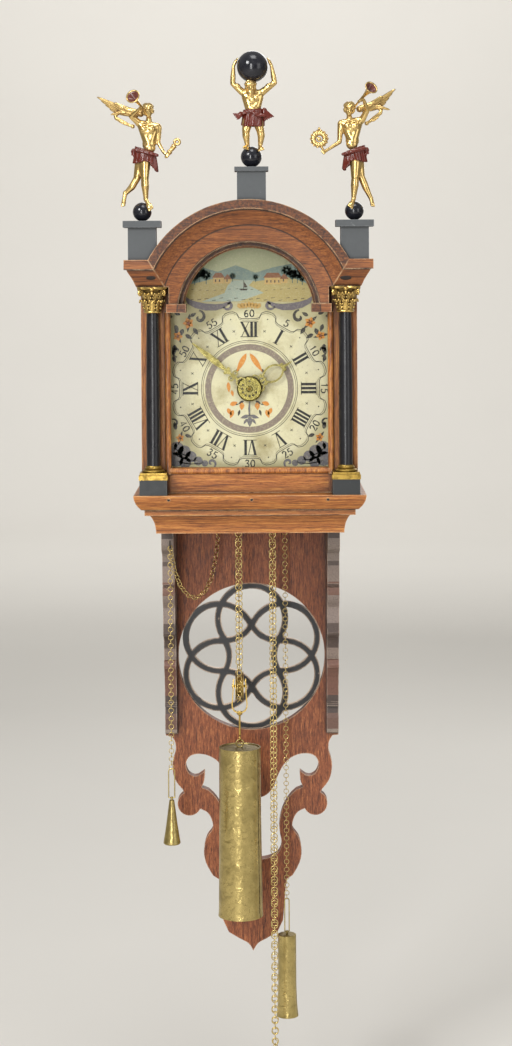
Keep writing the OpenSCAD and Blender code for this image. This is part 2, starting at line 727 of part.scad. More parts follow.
bar_x0 = -12;
bar_x1 = alarm_x + 8;
module train_bars() {
    z0 = bottom_plate_z + plate_t;
    h = top_plate_z - plate_t - z0;
    color("#a08545") difference() {
        union() {
            for (y = [bar_front, bar_mid, bar_back]) translate([bar_x0, y - bar_t, z0])
                cube([bar_x1 - bar_x0, bar_t, h]);
            rod_y(0, dial_z - motion_gap, bar_front - bar_t, bar_front - bar_t - 9, 1.5);
        }
        for (p = [[sprocket_x, sprocket_z], [0, dial_z], [0, escape_z], [0, anchor_z]])
            rod_y(p[0], p[1], 0, -200, hub_r + bore_gap);
        rod_y(alarm_x, sprocket_z, bar_back + 1, bar_back - bar_t - 1, hub_r + bore_gap);
    }
}

// Toothed wheel outline: teeth narrow enough to pass each other with play
module gear_2d(n, m, turn = 0) {
    r = n * m / 2;
    p = 360 / n;
    rotate(turn) polygon([for (i = [0:n - 1]) for (q = [[r - 1.05 * m, -0.3], [r, -0.21], [r + 0.75 * m, -0.1],
        [r + 0.75 * m, 0.1], [r, 0.21], [r - 1.05 * m, 0.3]])
        q[0] * [cos((i + q[1]) * p), sin((i + q[1]) * p)]]);
}

module crossed_wheel_2d(n, m, turn, hub, arms) {
    r = n * m / 2 - 1.05 * m;
    difference() {
        gear_2d(n, m, turn);
        difference() {
            circle(r - 3.4, $fn = 64);
            circle(hub, $fn = 48);
            for (k = [0:arms - 1]) rotate(360 * k / arms) translate([0, -1.6]) square([r, 3.2]);
        }
    }
}

module wheel_y(x, z, y, t) {
    translate([x, 0, z]) slab_y(y, t) children();
}

// Grooved chain wheel with flanges that hold the links on edge
module sprocket(x, z, y, r, link_out) {
    half = link_out + 0.6;
    turned_y(x, z, y + half + 1.4) polygon([[0, 0], [r + 2, 0], [r + 2, 1.4], [r - link_out - 0.4, 3],
        [r - link_out - 0.4, 2 * half - 0.2], [r + 2, 2 * half + 1.4], [r + 2, 2 * half + 2.8], [0, 2 * half + 2.8]]);
}

way = atan2(dial_z - sprocket_z, -sprocket_x);
main_out = main_link_r + main_wire_r;
thin_out = thin_link_r + thin_wire_r;

module great_wheel(y, wheel_y0, y_back, y_front) {
    wheel_y(sprocket_x, sprocket_z, wheel_y0, 2) crossed_wheel_2d(great_teeth, great_m, way, 12, 4);
    sprocket(sprocket_x, sprocket_z, y, sprocket_r, main_out);
    rod_y(sprocket_x, sprocket_z, wheel_y0 + 4, y, 6);
    rod_y(sprocket_x, sprocket_z, y_back, y_front, hub_r);
}

module going_great_wheel() {
    color("#c0a050") great_wheel(going_y, -94, bar_mid - bar_t / 2 - 0.2, bar_front - bar_t - 0.4);
}

module strike_great_wheel() {
    color("#c0a050") great_wheel(strike_y, -58.5, bar_back - 0.2, bar_mid - bar_t / 2 + 0.2);
}

// Arbor with a pinion meshing a great wheel and a wheel that drives the next pinion
module second_wheel(pinion_y, wheel_at) {
    wheel_y(0, dial_z, pinion_y, 6) gear_2d(pinion_teeth, great_m, way + 180 + 180 / pinion_teeth);
    wheel_y(0, dial_z, wheel_at, 2) crossed_wheel_2d(second_teeth, second_m, 90, 5, 4);
}

module centre_wheel() {
    color("#c0a050") {
        second_wheel(-92, -113);
        rod_y(0, dial_z, bar_mid - bar_t / 2 - 0.2, -153, hub_r);
        wheel_y(0, dial_z, -129.2, 3.4) gear_2d(12, 0.9, -90 + 15);
    }
}

module escape_wheel() {
    color("#c0a050") {
        wheel_y(0, escape_z, -111, 6) gear_2d(third_teeth, second_m, -90 + 180 / third_teeth);
        wheel_y(0, escape_z, -104, 1.6) difference() {
            polygon([for (i = [0:29]) for (q = [[12, 0], [15, 6], [14.6, 7.6], [12, 8]])
                q[0] * [cos(12 * i + q[1]), sin(12 * i + q[1])]]);
            difference() {
                circle(9.6, $fn = 48);
                circle(3.4, $fn = 48);
                for (k = [0:3]) rotate(90 * k) translate([0, -1]) square([11, 2]);
            }
        }
        rod_y(0, escape_z, bar_mid - bar_t / 2 - 0.2, bar_front - bar_t - 0.4, hub_r);
    }
}

module minute_wheel() {
    color("#c0a050") difference() {
        union() {
            wheel_y(0, dial_z - motion_gap, -130, 1.8) gear_2d(36, 0.9, 90);
            wheel_y(0, dial_z - motion_gap, -131.8, 4.4) gear_2d(10, 2 * motion_gap / 50, 90);
        }
        rod_y(0, dial_z - motion_gap, -120, -140, 1.5 + bore_gap);
    }
}

module hour_wheel() {
    color("#c0a050") difference() {
        union() {
            wheel_y(0, dial_z, -134, 1.8) gear_2d(40, 2 * motion_gap / 50, -90 + 4.5);
            rod_y(0, dial_z, -134, -148.4, pipe_r);
        }
        rod_y(0, dial_z, -120, -160, hub_r + bore_gap);
    }
}

module anchor() {
    color("#7d7a74") {
        rod_y(0, anchor_z, bar_back + 18, bar_front - bar_t - 0.4, hub_r);
        wheel_y(0, anchor_z, -104, 1.6) difference() {
            union() {
                circle(4, $fn = 48);
                polygon([[-3, 3], [3, 3], [15.8, -9.6], [16.6, -17], [14.3, -12], [7.6, -5], [0, -3], [-7.6, -5],
                    [-14.3, -12], [-16.6, -17], [-15.8, -9.6]]);
            }
            circle(hub_r - 0.01, $fn = 48);
        }
    }
}

bob_drop = 138;
module pendulum() {
    y = bar_back + 18;
    color("#b09a50") {
        difference() {
            rod_y(0, anchor_z, y + 3, y - 3, 5);
            rod_y(0, anchor_z, 0, -200, hub_r);
        }
        translate([0, y, anchor_z - bob_drop + 3]) cylinder(h = bob_drop - 6, r = 1.3, $fn = 32);
        turned_y(0, anchor_z - bob_drop, y + 4) polygon(concat([[0, 0]],
            smooth([[4, 0], [12, 1.4], [17, 3.6], [17, 4.4], [12, 6.6], [4, 8]], 2), [[0, 8]]));
    }
}

module pin_wheel() {
    color("#c0a050") {
        second_wheel(-56.5, -78);
        for (k = [0:8]) rod_y(24.2 * cos(40 * k), dial_z + 24.2 * sin(40 * k), -75.5, -78.5, 1);
        rod_y(0, dial_z, bar_back - 0.2, bar_mid - bar_t / 2 + 0.2, hub_r);
    }
}

module fly() {
    color("#c0a050") {
        wheel_y(0, escape_z, -76, 6) gear_2d(third_teeth, second_m, -90 + 180 / third_teeth);
        translate([-12.5, -70, escape_z - 0.5]) cube([25, 10, 1]);
        rod_y(0, escape_z, -60, -70, 3.2);
        rod_y(0, escape_z, bar_back - 0.2, bar_mid - bar_t / 2 + 0.2, hub_r);
    }
}

module bell() {
    color("#b8a060") translate([0, strand_y, bell_z]) rotate_extrude($fn = 96) polygon(concat(
        [[2.6, 35]], smooth([[12, 34], [24, 27], [31, 16], [34, 4], [bell_r, -6]], 3),
        smooth([[bell_r - 2.4, -6], [32, 4], [29, 15], [22.4, 25], [11, 31.6], [2.6, 32.6]], 3)));
}

module bell_stand() {
    color("#7d7a74") translate([0, strand_y, 0]) {
        translate([0, 0, top_plate_z]) cylinder(h = bell_z + 32.6 - top_plate_z, r = 5, $fn = 32);
        translate([0, 0, bell_z + 30]) cylinder(h = 7, r = 2.4, $fn = 32);
        translate([0, 0, bell_z + 35]) cylinder(h = 4, r = 5, $fn = 32);
    }
}

module strike_hammer() {
    away = [0.887, 0.462];
    p = [-44 * away[0], strand_y - 44 * away[1]];
    arm_z = bell_z - 3;
    color("#7d7a74") {
        translate([hammer_x, hammer_y, bottom_plate_z]) cylinder(h = arm_z + 3 - bottom_plate_z, r = 2, $fn = 32);
        hull() {
            translate([hammer_x, hammer_y, arm_z - 1.2]) cylinder(h = 2.4, r = 2.4, $fn = 24);
            translate([p[0], p[1], arm_z - 1.2]) cylinder(h = 2.4, r = 1.6, $fn = 24);
        }
        translate([p[0] - 5 * away[0], p[1] - 5 * away[1], arm_z])
            rotate([0, 90, atan2(away[1], away[0])]) cylinder(h = 10, r = 4.4, $fn = 32);
        translate([hammer_x, hammer_y - 1, dial_z]) cube([22, 2, 2]);
    }
}

// Dial side

module dial_plate() {
    r = arch_r + 4;
    color("#cfc99a") difference() {
        union() {
            slab_y(dial_y, dial_t) union() {
                translate([-opening_x - 5, opening_foot - 5]) square([opening_w + 10, impost_top - opening_foot + 5]);
                translate([0, arch_z]) circle(r, $fn = 96);
            }
            for (x = [-pillar_x, pillar_x], z = [opening_foot + 8, top_plate_z - 24])
                rod_y(x, z, bar_front - 3.5, dial_y - 0.5, 2.5);
        }
        rod_y(0, dial_z, 0, -200, pipe_r + 1);
    }
}

// Hands are drawn pointing up from the arbor; each piece of the pattern is a thin plate of its own
module hand_plates() {
    for (i = [0:$children - 1]) rotate([90, 0, 0]) linear_extrude(hand_t) children(i);
}

module minute_hand() {
    l = minute_len;
    color("#8f8a45") translate([0, -149.6, dial_z]) difference() {
        union() {
            rotate([0, minute_angle, 0]) hand_plates() {
                circle(6.4, $fn = 48);
                translate([0, 12.6]) ring_2d(5.6, 1.7);
                polygon([[-1.6, 17], [1.6, 17], [1.2, 31], [-1.2, 31]]);
                translate([-4.1, 25.5]) ring_2d(2.7, 1.5);
                translate([4.1, 25.5]) ring_2d(2.7, 1.5);
                translate([0, 33]) circle(2.9, $fn = 48);
                translate([-3.4, 35.4]) circle(1.9, $fn = 32);
                translate([3.4, 35.4]) circle(1.9, $fn = 32);
                polygon(concat(smooth([[1.2, 33], [2.2, 41], [3.7, 52], [3.2, 66], [0.6, l]], 3),
                    smooth([[-0.6, l], [-3.2, 66], [-3.7, 52], [-2.2, 41], [-1.2, 33]], 3)));
            }
            rotate([90, 0, 0]) cylinder(h = hand_t + 2, r1 = 4.6, r2 = 3, $fn = 48);
        }
        rotate([90, 0, 0]) translate([0, 0, -1]) cylinder(h = hand_t + 4, r = hub_r, $fn = 48);
    }
}

module hour_hand() {
    l = hour_len;
    color("#8f8a45") translate([0, -144, dial_z]) difference() {
        rotate([0, hour_angle, 0]) hand_plates() {
            circle(7.4, $fn = 48);
            translate([-6.2, 12]) ring_2d(4.4, 1.8);
            translate([6.2, 12]) ring_2d(4.4, 1.8);
            translate([-5.4, 20]) circle(2.2, $fn = 32);
            translate([5.4, 20]) circle(2.2, $fn = 32);
            polygon([[-1.7, 6], [1.7, 6], [1.4, 24], [-1.4, 24]]);
            hand_bow(0);
            hand_bow(1);
            translate([-3.4, 48.6]) circle(2.1, $fn = 32);
            translate([3.4, 48.6]) circle(2.1, $fn = 32);
            polygon([[-2, 46], [2, 46], [1.6, 52], [0.5, l], [-0.5, l], [-1.6, 52]]);
        }
        rotate([90, 0, 0]) translate([0, 0, -1]) cylinder(h = hand_t + 2, r = pipe_r, $fn = 48);
    }
}

// One side of the open loop in the hour hand
module hand_bow(side) {
    mirror([side, 0]) intersection() {
        translate([-6.2, 34]) ring_2d(15.6, 2.2);
        translate([-1, 20.6]) square([14, 28]);
    }
}

disc_r = 15.4;
module alarm_disc() {
    color("#a89a4c") translate([0, 0, dial_z]) {
        slab_y(-146.2, 1) difference() {
            circle(disc_r, $fn = 96);
            circle(pipe_r + bore_gap, $fn = 48);
            for (k = [0:11]) rotate(30 * k) translate([9, 0]) circle(1.5, $fn = 24);
        }
        turned_y(0, 0, -147.2) polygon([[disc_r - 1.6, 0], [disc_r, 0], [disc_r - 0.8, 0.8]]);
    }
}

// Chains

// The normal of link i on a chain that runs along v: links lie by turns 45 degrees either side of side_way
function link_normal(v, side_way, i) =
    let (w = v / norm(v), a = side_way - (side_way * w) * w, u = a / norm(a))
    (u + (i % 2 == 0 ? 1 : -1) * cross(w, u)) / sqrt(2);

module link_at(p, n, r, wire) {
    translate(p) rotate([0, acos(n[2]), atan2(n[1], n[0])])
        rotate_extrude($fn = 32) translate([r, 0]) circle(wire, $fn = 16);
}

module main_link(p, v, side_way, i) {
    link_at(p, link_normal(v, side_way, i), main_link_r, main_wire_r);
}

module thin_link(p, v, side_way, i) {
    link_at(p, link_normal(v, side_way, i), thin_link_r, thin_wire_r);
}

// Links over the top of a sprocket, from its left side to its right; an odd count alternates with the strands
module wrap(x, z, y, r, count, main) {
    for (i = [0:count]) {
        a = 180 - 180 * i / count;
        p = [x + r * cos(a), y, z + r * sin(a)];
        if (main) main_link(p, [-sin(a), 0, cos(a)], [0, 1, 0], i);
        else thin_link(p, [-sin(a), 0, cos(a)], [0, 1, 0], i);
    }
}

main_wrap = 11;
thin_wrap = 15;
module sprocket_chains() {
    color("#c8aa50") for (y = [going_y, strike_y]) wrap(sprocket_x, sprocket_z, y, sprocket_r, main_wrap, true);
}

// Two strands hanging from the sprockets at x and the turn that joins them at the foot
turn_count = 9;
module looped_strands(x, foot_z, links) {
    pitch = (sprocket_z - foot_z) / (links + 1);
    for (y = [going_y, strike_y], i = [1:links])
        main_link([x, y, sprocket_z - i * pitch], [0, 0, 1], [1, 0, 0], i);
    for (i = [0:turn_count]) {
        a = 180 + 180 * i / turn_count;
        main_link([x, strand_y + pulley_r * cos(a), foot_z + pulley_r * sin(a)], [0, -sin(a), cos(a)],
            [1, 0, 0], i + links);
    }
}

module weight_chains() {
    color("#c8aa50") looped_strands(left_x, pulley_z, ceil((sprocket_z - pulley_z) / main_pitch) - 1);
}

module tail_chains() {
    color("#c8aa50") looped_strands(right_x, tail_turn_z, ceil((sprocket_z - tail_turn_z) / main_pitch) - 1);
}

ring_hole = 8;
ring_body = 5;
module ring_weight() {
    z = tail_turn_z - pulley_r + main_out * 0.75 - ring_hole + 0.6;
    color("#6c6f72") translate([right_x, strand_y, z]) rotate([90, 0, 0])
        rotate_extrude($fn = 64) translate([ring_hole + ring_body, 0]) circle(ring_body, $fn = 48);
}

// Cheeks, axle, hook and the wire eye on the main weight's lid
cheek_gap = 2 * main_out + 1.4;
weight_top_z = rosette_z - 100;
staple_r = 4.6;
staple_wire_r = 0.9;
staple_z = weight_top_z + 4.4;
eye_r = 3.8;
eye_wire_r = 1.1;
eye_z = staple_z + staple_r - staple_wire_r + eye_r - eye_wire_r - 0.05;
module pulley_block() {
    color("#b09a50") {
        for (s = [-1, 1]) translate([left_x + s * (cheek_gap / 2 + 0.6), 0, 0]) rotate([90, 0, 90])
            translate([0, 0, -0.6]) linear_extrude(1.2) difference() {
                hull() {
                    translate([strand_y, pulley_z]) circle(7, $fn = 48);
                    translate([strand_y, pulley_z - pulley_r - 12]) circle(4, $fn = 48);
                }
                translate([strand_y, pulley_z]) circle(1.7, $fn = 32);
            }
        translate([left_x - cheek_gap / 2 - 1.8, strand_y, pulley_z]) rotate([0, 90, 0])
            cylinder(h = cheek_gap + 3.6, r = 1.7, $fn = 32);
        translate([left_x - cheek_gap / 2 - 0.6, strand_y - 3, pulley_z - pulley_r - 15])
            cube([cheek_gap + 1.2, 6, 3]);
        translate([left_x, strand_y, eye_z + eye_r])
            cylinder(h = pulley_z - pulley_r - 14 - eye_z - eye_r, r = 1.3, $fn = 24);
        translate([left_x, strand_y, eye_z]) rotate([90, 0, 90]) rotate_extrude(angle = 330, $fn = 48)
            translate([eye_r, 0]) circle(eye_wire_r, $fn = 16);
    }
}

module pulley_wheel() {
    half = main_out + 0.5;
    color("#b09a50") translate([left_x - half, strand_y, pulley_z]) rotate([0, 90, 0]) rotate_extrude($fn = 64)
        polygon([[1.78, 0], [pulley_r + 1.4, 0], [pulley_r + 1.4, 0.9], [pulley_r - main_out - 0.4, 2],
            [pulley_r - main_out - 0.4, 2 * half - 2], [pulley_r + 1.4, 2 * half - 0.9], [pulley_r + 1.4, 2 * half],
            [1.78, 2 * half]]);
}

module main_weight() {
    r = weight_dia / 2;
    color("#a08a45") translate([left_x, strand_y, weight_top_z - weight_len]) {
        difference() {
            rotate_extrude($fn = 96) polygon([[0, 0], [r + 2, 0], [r + 1.4, 8], [r, weight_len * 0.6], [r, weight_len],
                [r - 2, weight_len], [r - 2.4, weight_len - 1.2], [0, weight_len - 0.4]]);
            translate([0, 0, -1]) cylinder(h = 4, r = r - 1, $fn = 64);
        }
        translate([0, 0, weight_len + staple_z - weight_top_z]) rotate([90, 0, 0]) rotate_extrude($fn = 48)
            translate([staple_r, 0]) circle(staple_wire_r, $fn = 16);
    }
}

alarm_weight_z = rosette_z - 349;
alarm_weight_len = 103;
// Long wire hook, open at the top of one leg, that carries the small weights
module wire_hook(h, w, wire) {
    translate([w / 2, 0, 0]) cylinder(h = h - w / 2, r = wire, $fn = 24);
    translate([-w / 2, 0, 0]) cylinder(h = h - w / 2, r = wire, $fn = 24);
    translate([0, 0, h - w / 2]) rotate([90, 0, 0]) rotate_extrude(angle = 180, $fn = 48)
        translate([w / 2, 0]) circle(wire, $fn = 16);
}

module alarm_weight() {
    r = 11.5;
    l = alarm_weight_len;
    color("#a08a45") translate([alarm_right_x, alarm_y, alarm_weight_z]) {
        translate([0, 0, -l]) rotate_extrude($fn = 64) polygon([[0, 0], [r + 2.4, 0], [r + 2, 3], [r + 0.8, 16], [r, 40],
            [r, l], [r - 1, l + 0.6], [0, l + 0.6]]);
        cylinder(h = 5, r = 1.6, $fn = 24);
        translate([0, 0, 4]) wire_hook(alarm_hook_z - alarm_weight_z - 4 + 1, 5.6, 0.7);
        translate([-2.8, 0, 4]) rotate([0, 90, 0]) cylinder(h = 5.6, r = 0.7, $fn = 24);
    }
}

alarm_drop = sprocket_z - alarm_hook_z - 0.25 - thin_link_r + thin_wire_r;
alarm_links = ceil(alarm_drop / thin_pitch);
alarm_pitch = alarm_drop / alarm_links;
module alarm_chain() {
    color("#c8aa50") for (i = [1:alarm_links])
        thin_link([alarm_right_x, alarm_y, sprocket_z - i * alarm_pitch], [0, 0, 1], [1, 0, 0], i);
}

module alarm_wheel() {
    color("#c0a050") {
        sprocket(alarm_x, sprocket_z, alarm_y, alarm_r, thin_out);
        rod_y(alarm_x, sprocket_z, alarm_y + 5, bar_back - bar_t - 0.2, hub_r);
    }
}

loop_links = ceil(route_len(loop_route) / thin_pitch * 1.04);
module alarm_loop_chain() {
    color("#c8aa50") {
        wrap(alarm_x, sprocket_z, alarm_y, alarm_r, thin_wrap, false);
        for (i = [1:loop_links]) {
            s = i * route_len(loop_route) / loop_links;
            thin_link(route_at(loop_route, s), route_way(loop_route, s), [0, 1, 0], i);
        }
    }
}

counter_y = hook_y + 2;
counter_drop = hook_z + hang - counter_hook_z - 0.25 - thin_link_r + thin_wire_r;
counter_links = ceil(counter_drop / thin_pitch);
module counter_chain() {
    color("#c8aa50") for (i = [0:counter_links])
        thin_link([hook_x, counter_y, hook_z + hang - i * counter_drop / counter_links], [0, 0, 1], [1, 0, 0], i);
}

module counterweight() {
    l = 54;
    z = rosette_z - 159;
    color("#b09a50") translate([hook_x, counter_y, z]) {
        translate([0, 0, -l]) rotate_extrude($fn = 64) polygon([[0, 0], [9.6, 0], [10.6, 1.4], [10, 5], [7, 24],
            [3, l], [0, l]]);
        cylinder(h = 4, r = 1.5, $fn = 24);
        translate([0, 0, 3]) wire_hook(counter_hook_z - z - 3 + 1, 7.4, 0.7);
        translate([-3.7, 0, 3]) rotate([0, 90, 0]) cylinder(h = 7.4, r = 0.7, $fn = 24);
    }
}

backboard();
tail_board();
rosette_tracery();
hanging_plate();
brackets();
seat_board();
base_moulding();
moulding_pegs();
chain_hook();
movement_plates();
movement_pillars();
train_bars();
dial_plate();
bell();
bell_stand();
sprocket_chains();
alarm_loop_chain();
hood_front();
hood_sides();
hood_roof();
arch_moulding();
ledge_mouldings();
front_glass();
side_glass();
columns();
capitals();
column_bases();
plinths();
pedestals();
finial_balls();
globe_bearer();
globe();
herald_left();
herald_right();
going_great_wheel();
centre_wheel();
minute_hand();
escape_wheel();
minute_wheel();
hour_wheel();
hour_hand();
alarm_disc();
anchor();
pendulum();
strike_great_wheel();
pin_wheel();
fly();
strike_hammer();
weight_chains();
pulley_block();
pulley_wheel();
main_weight();
tail_chains();
ring_weight();
alarm_wheel();
alarm_chain();
alarm_weight();
counter_chain();
counterweight();
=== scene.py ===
"""A short-tailed wall clock: materials, dial painting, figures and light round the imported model.

Laid out as an add-on and run as a script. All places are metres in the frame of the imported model:
origin at the wall hook, +X right, +Y to the wall, +Z up, the dial towards -Y.
"""

import json
import math

import bmesh
import bpy
from mathutils import Matrix, Vector
from mathutils.bvhtree import BVHTree


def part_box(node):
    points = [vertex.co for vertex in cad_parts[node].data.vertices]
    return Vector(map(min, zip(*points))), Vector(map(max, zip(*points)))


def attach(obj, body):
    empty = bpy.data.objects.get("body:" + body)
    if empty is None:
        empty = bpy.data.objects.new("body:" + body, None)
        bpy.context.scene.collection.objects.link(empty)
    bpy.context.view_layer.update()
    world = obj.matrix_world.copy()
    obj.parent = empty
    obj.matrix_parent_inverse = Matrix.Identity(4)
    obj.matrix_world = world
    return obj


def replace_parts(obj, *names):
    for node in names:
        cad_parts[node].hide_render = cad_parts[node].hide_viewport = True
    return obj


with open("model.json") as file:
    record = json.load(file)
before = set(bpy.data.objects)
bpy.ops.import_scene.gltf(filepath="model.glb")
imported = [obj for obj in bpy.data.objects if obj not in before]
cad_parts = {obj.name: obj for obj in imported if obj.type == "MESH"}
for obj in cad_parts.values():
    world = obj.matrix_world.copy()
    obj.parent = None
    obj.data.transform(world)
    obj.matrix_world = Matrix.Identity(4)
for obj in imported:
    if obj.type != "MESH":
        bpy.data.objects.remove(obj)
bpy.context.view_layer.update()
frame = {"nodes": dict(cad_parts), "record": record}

bl_info = {
    "name": "Tail Clock",
    "version": (1, 0, 0),
    "blender": (4, 5, 0),
    "location": "View3D > Sidebar > Tail Clock",
    "description": "Builds the looks of a short-tailed wall clock round its packed model",
    "category": "Object",
}

MM = 0.001

# Places read from the model
hand_low, hand_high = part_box("hour_wheel")
DIAL_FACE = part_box("dial_plate")[0].y
DIAL_X = (hand_low.x + hand_high.x) / 2
DIAL_Z = (hand_low.z + hand_high.z) / 2
GLASS_ARCH_R = 84.5 * MM
ARCH_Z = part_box("front_glass")[1].z - GLASS_ARCH_R
# How far each coat of the dial painting stands in front of the one under it
LAYER = 0.06 * MM


# Settings that a user would change


class ClockStage(bpy.types.PropertyGroup):
    """Camera, floor and light."""

    camera_distance: bpy.props.FloatProperty(
        name="Camera distance", description="From the wall plane to the camera", default=2.725, unit="LENGTH")
    camera_side: bpy.props.FloatProperty(
        name="Camera offset", description="How far right of the hook the camera stands", default=0.013,
                                         unit="LENGTH")
    camera_height: bpy.props.FloatProperty(
        name="Camera height", description="Height of the camera above the hook", default=-0.055,
                                           unit="LENGTH")
    lens: bpy.props.FloatProperty(name="Lens", description="Focal length in mm", default=73.06)
    tilt: bpy.props.FloatProperty(
        name="Tilt", description="How far the camera looks down", default=math.radians(0.756),
                                  subtype="ANGLE")
    pan: bpy.props.FloatProperty(
        name="Pan", description="How far the camera looks left", default=math.radians(0.1), subtype="ANGLE")
    roll: bpy.props.FloatProperty(
        name="Roll", description="Turn of the picture", default=math.radians(-0.34), subtype="ANGLE")
    shift: bpy.props.FloatProperty(name="Shift", description="Vertical lens shift", default=-0.209)
    floor_drop: bpy.props.FloatProperty(
        name="Floor drop", description="Floor level below the hook", default=1.14, unit="LENGTH")
    floor_colour: bpy.props.StringProperty(name="Floor", description="sRGB hex colour", default="#d9d6d0")


class ClockWood(bpy.types.PropertyGroup):
    """Colours of the wooden parts, as sRGB hex."""

    oak_dark: bpy.props.StringProperty(name="Oak, dark", description="Old varnish in the pores",
                                       default="#3a1c0c")
    oak_mid: bpy.props.StringProperty(name="Oak, middle", description="Body of the varnish",
                                      default="#80481f")
    oak_light: bpy.props.StringProperty(name="Oak, light", description="Rubbed varnish", default="#a86a35")
    base_dark: bpy.props.StringProperty(name="Base, dark", description="Pores of the base oak",
                                        default="#4c240c")
    base_mid: bpy.props.StringProperty(name="Base, middle", description="Body of the base oak",
                                       default="#a5622a")
    base_light: bpy.props.StringProperty(name="Base, light", description="Rubbed base oak", default="#d9994c")
    board_dark: bpy.props.StringProperty(name="Board, dark", description="Speckled grain", default="#35180d")
    board_mid: bpy.props.StringProperty(name="Board, middle", description="Body of the board",
                                        default="#87492a")
    board_light: bpy.props.StringProperty(name="Board, light", description="Rubbed board", default="#b87546")
    slate: bpy.props.StringProperty(name="Slate paint", description="Pedestal paint", default="#3f4244")


class ClockMetal(bpy.types.PropertyGroup):
    """Colours of the metal parts, as sRGB hex."""

    brass: bpy.props.StringProperty(name="Brass", description="Clean brass", default="#c9a95c")
    tarnish: bpy.props.StringProperty(name="Tarnish", description="Old brass in the hollows",
                                      default="#5a4a22")
    gold: bpy.props.StringProperty(name="Gold leaf", description="Bright leaf", default="#dcbd7c")
    bole: bpy.props.StringProperty(name="Bole", description="Ground that shows through the leaf",
                                   default="#5a2c12")
    iron: bpy.props.StringProperty(name="Iron", description="Forged iron", default="#4d4a47")


class ClockPaint(bpy.types.PropertyGroup):
    """Colours of the dial painting and of the figures' cloths, as sRGB hex."""

    cream: bpy.props.StringProperty(name="Cream", description="Ground of the dial", default="#e4dfb6")
    black: bpy.props.StringProperty(name="Black", description="Numerals and lines", default="#131311")
    ring: bpy.props.StringProperty(name="Ring", description="Ring inside the numerals", default="#8b7c6d")
    orange: bpy.props.StringProperty(name="Orange", description="Flowers", default="#d98a2b")
    grey: bpy.props.StringProperty(name="Grey", description="Scrolls", default="#6d6a6c")
    cloth: bpy.props.StringProperty(name="Cloth", description="Red-brown lacquer of the loincloths",
                                    default="#4a180e")


# Shared helpers


def linear(code):
    """An sRGB hex colour as linear RGBA."""
    parts = [int(code[i:i + 2], 16) / 255 for i in (1, 3, 5)]
    return tuple(c / 12.92 if c <= 0.04045 else ((c + 0.055) / 1.055) ** 2.4 for c in parts) + (1.0,)


def per_mm(size):
    """Texture scale for a feature of that size in mm, on coordinates in metres."""
    return 1000.0 / size


def add(tree, kind, settings=None, links=None):
    """Adds a node. Settings fill its sockets, its colour stops or its own values; links join its sockets."""
    node = tree.nodes.new("ShaderNode" + kind)
    for key, value in (settings or {}).items():
        if key == "stops":
            ramp = node.color_ramp
            while len(ramp.elements) < len(value):
                ramp.elements.new(0.5)
            for element, (place, colour) in zip(ramp.elements, value):
                element.position = place
                element.color = linear(colour) if isinstance(colour, str) else (colour, colour, colour, 1)
        elif isinstance(key, int) or key in node.inputs:
            node.inputs[key].default_value = value
        else:
            setattr(node, key, value)
    for key, source in (links or {}).items():
        tree.links.new(node.inputs[key], source)
    return node


def fill(tree, node, sockets):
    """Fills a node's sockets: a number or a colour is set on the socket, a socket is joined to it."""
    for key, value in sockets.items():
        if isinstance(value, bpy.types.NodeSocket):
            tree.links.new(node.inputs[key], value)
        else:
            node.inputs[key].default_value = value
    return node


def maths(tree, operation, *values, clamp=False):
    """The result of a sum on numbers or sockets."""
    node = add(tree, "Math", {"operation": operation, "use_clamp": clamp})
    return fill(tree, node, dict(enumerate(values))).outputs[0]


def span(tree, value, low=0.0, high=1.0, least=0.0, most=1.0):
    """least where the value is at low, most where it is at high, and even between them."""
    ends = {"From Min": low, "From Max": high, "To Min": least, "To Max": most}
    return add(tree, "MapRange", ends, {"Value": value}).outputs[0]


def blend(tree, share, first, second):
    """The first colour where the share is 0, the second where it is 1."""
    node = add(tree, "Mix", {"data_type": "RGBA"})
    return fill(tree, node, {0: share, 6: first, 7: second}).outputs[2]


def noise(tree, place, scale, detail, rough=0.5, twist=0.0):
    """Cloudy noise from 0 to 1."""
    look = {"Scale": scale, "Detail": detail, "Roughness": rough, "Distortion": twist}
    return add(tree, "TexNoise", look, {"Vector": place}).outputs["Fac"]


def relief(tree, height, strength, depth, under=None, sunk=False):
    """A bumped normal, laid over the one in under."""
    links = {"Height": height} if under is None else {"Height": height, "Normal": under}
    return add(tree, "Bump", {"Strength": strength, "Distance": depth, "invert": sunk}, links).outputs[0]


def new_material(name):
    """An empty material with its node tree and its surface shader."""
    made = bpy.data.materials.new(name)
    made.use_nodes = True
    return made, made.node_tree, made.node_tree.nodes["Principled BSDF"]


def clothe(material, *nodes):
    """Gives CAD nodes a material."""
    for name in nodes:
        mesh = frame["nodes"][name].data
        mesh.materials.clear()
        mesh.materials.append(material)


def make_piece(name, bm, material, body, smooth=True):
    """Turns a bmesh into a piece that rides on a body."""
    mesh = bpy.data.meshes.new(name)
    bm.to_mesh(mesh)
    bm.free()
    obj = bpy.data.objects.new(name, mesh)
    bpy.context.scene.collection.objects.link(obj)
    mesh.materials.append(material)
    if smooth:
        mesh.polygons.foreach_set("use_smooth", [True] * len(mesh.polygons))
    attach(obj, body)
    return obj


def piece_in_mm(name, bm, material, body, sharp):
    """A piece drawn in mm, smooth but for its edges of more than that many degrees."""
    for vert in bm.verts:
        vert.co *= MM
    bmesh.ops.recalc_face_normals(bm, faces=bm.faces)
    made = make_piece(name, bm, material, body)
    made.data.set_sharp_from_angle(angle=math.radians(sharp))
    return made


def soften(name, degrees=35):
    """Smooth shading on a CAD node where its faces meet at a low angle."""
    mesh = frame["nodes"][name].data
    mesh.polygons.foreach_set("use_smooth", [True] * len(mesh.polygons))
    mesh.set_sharp_from_angle(angle=math.radians(degrees))


# Materials


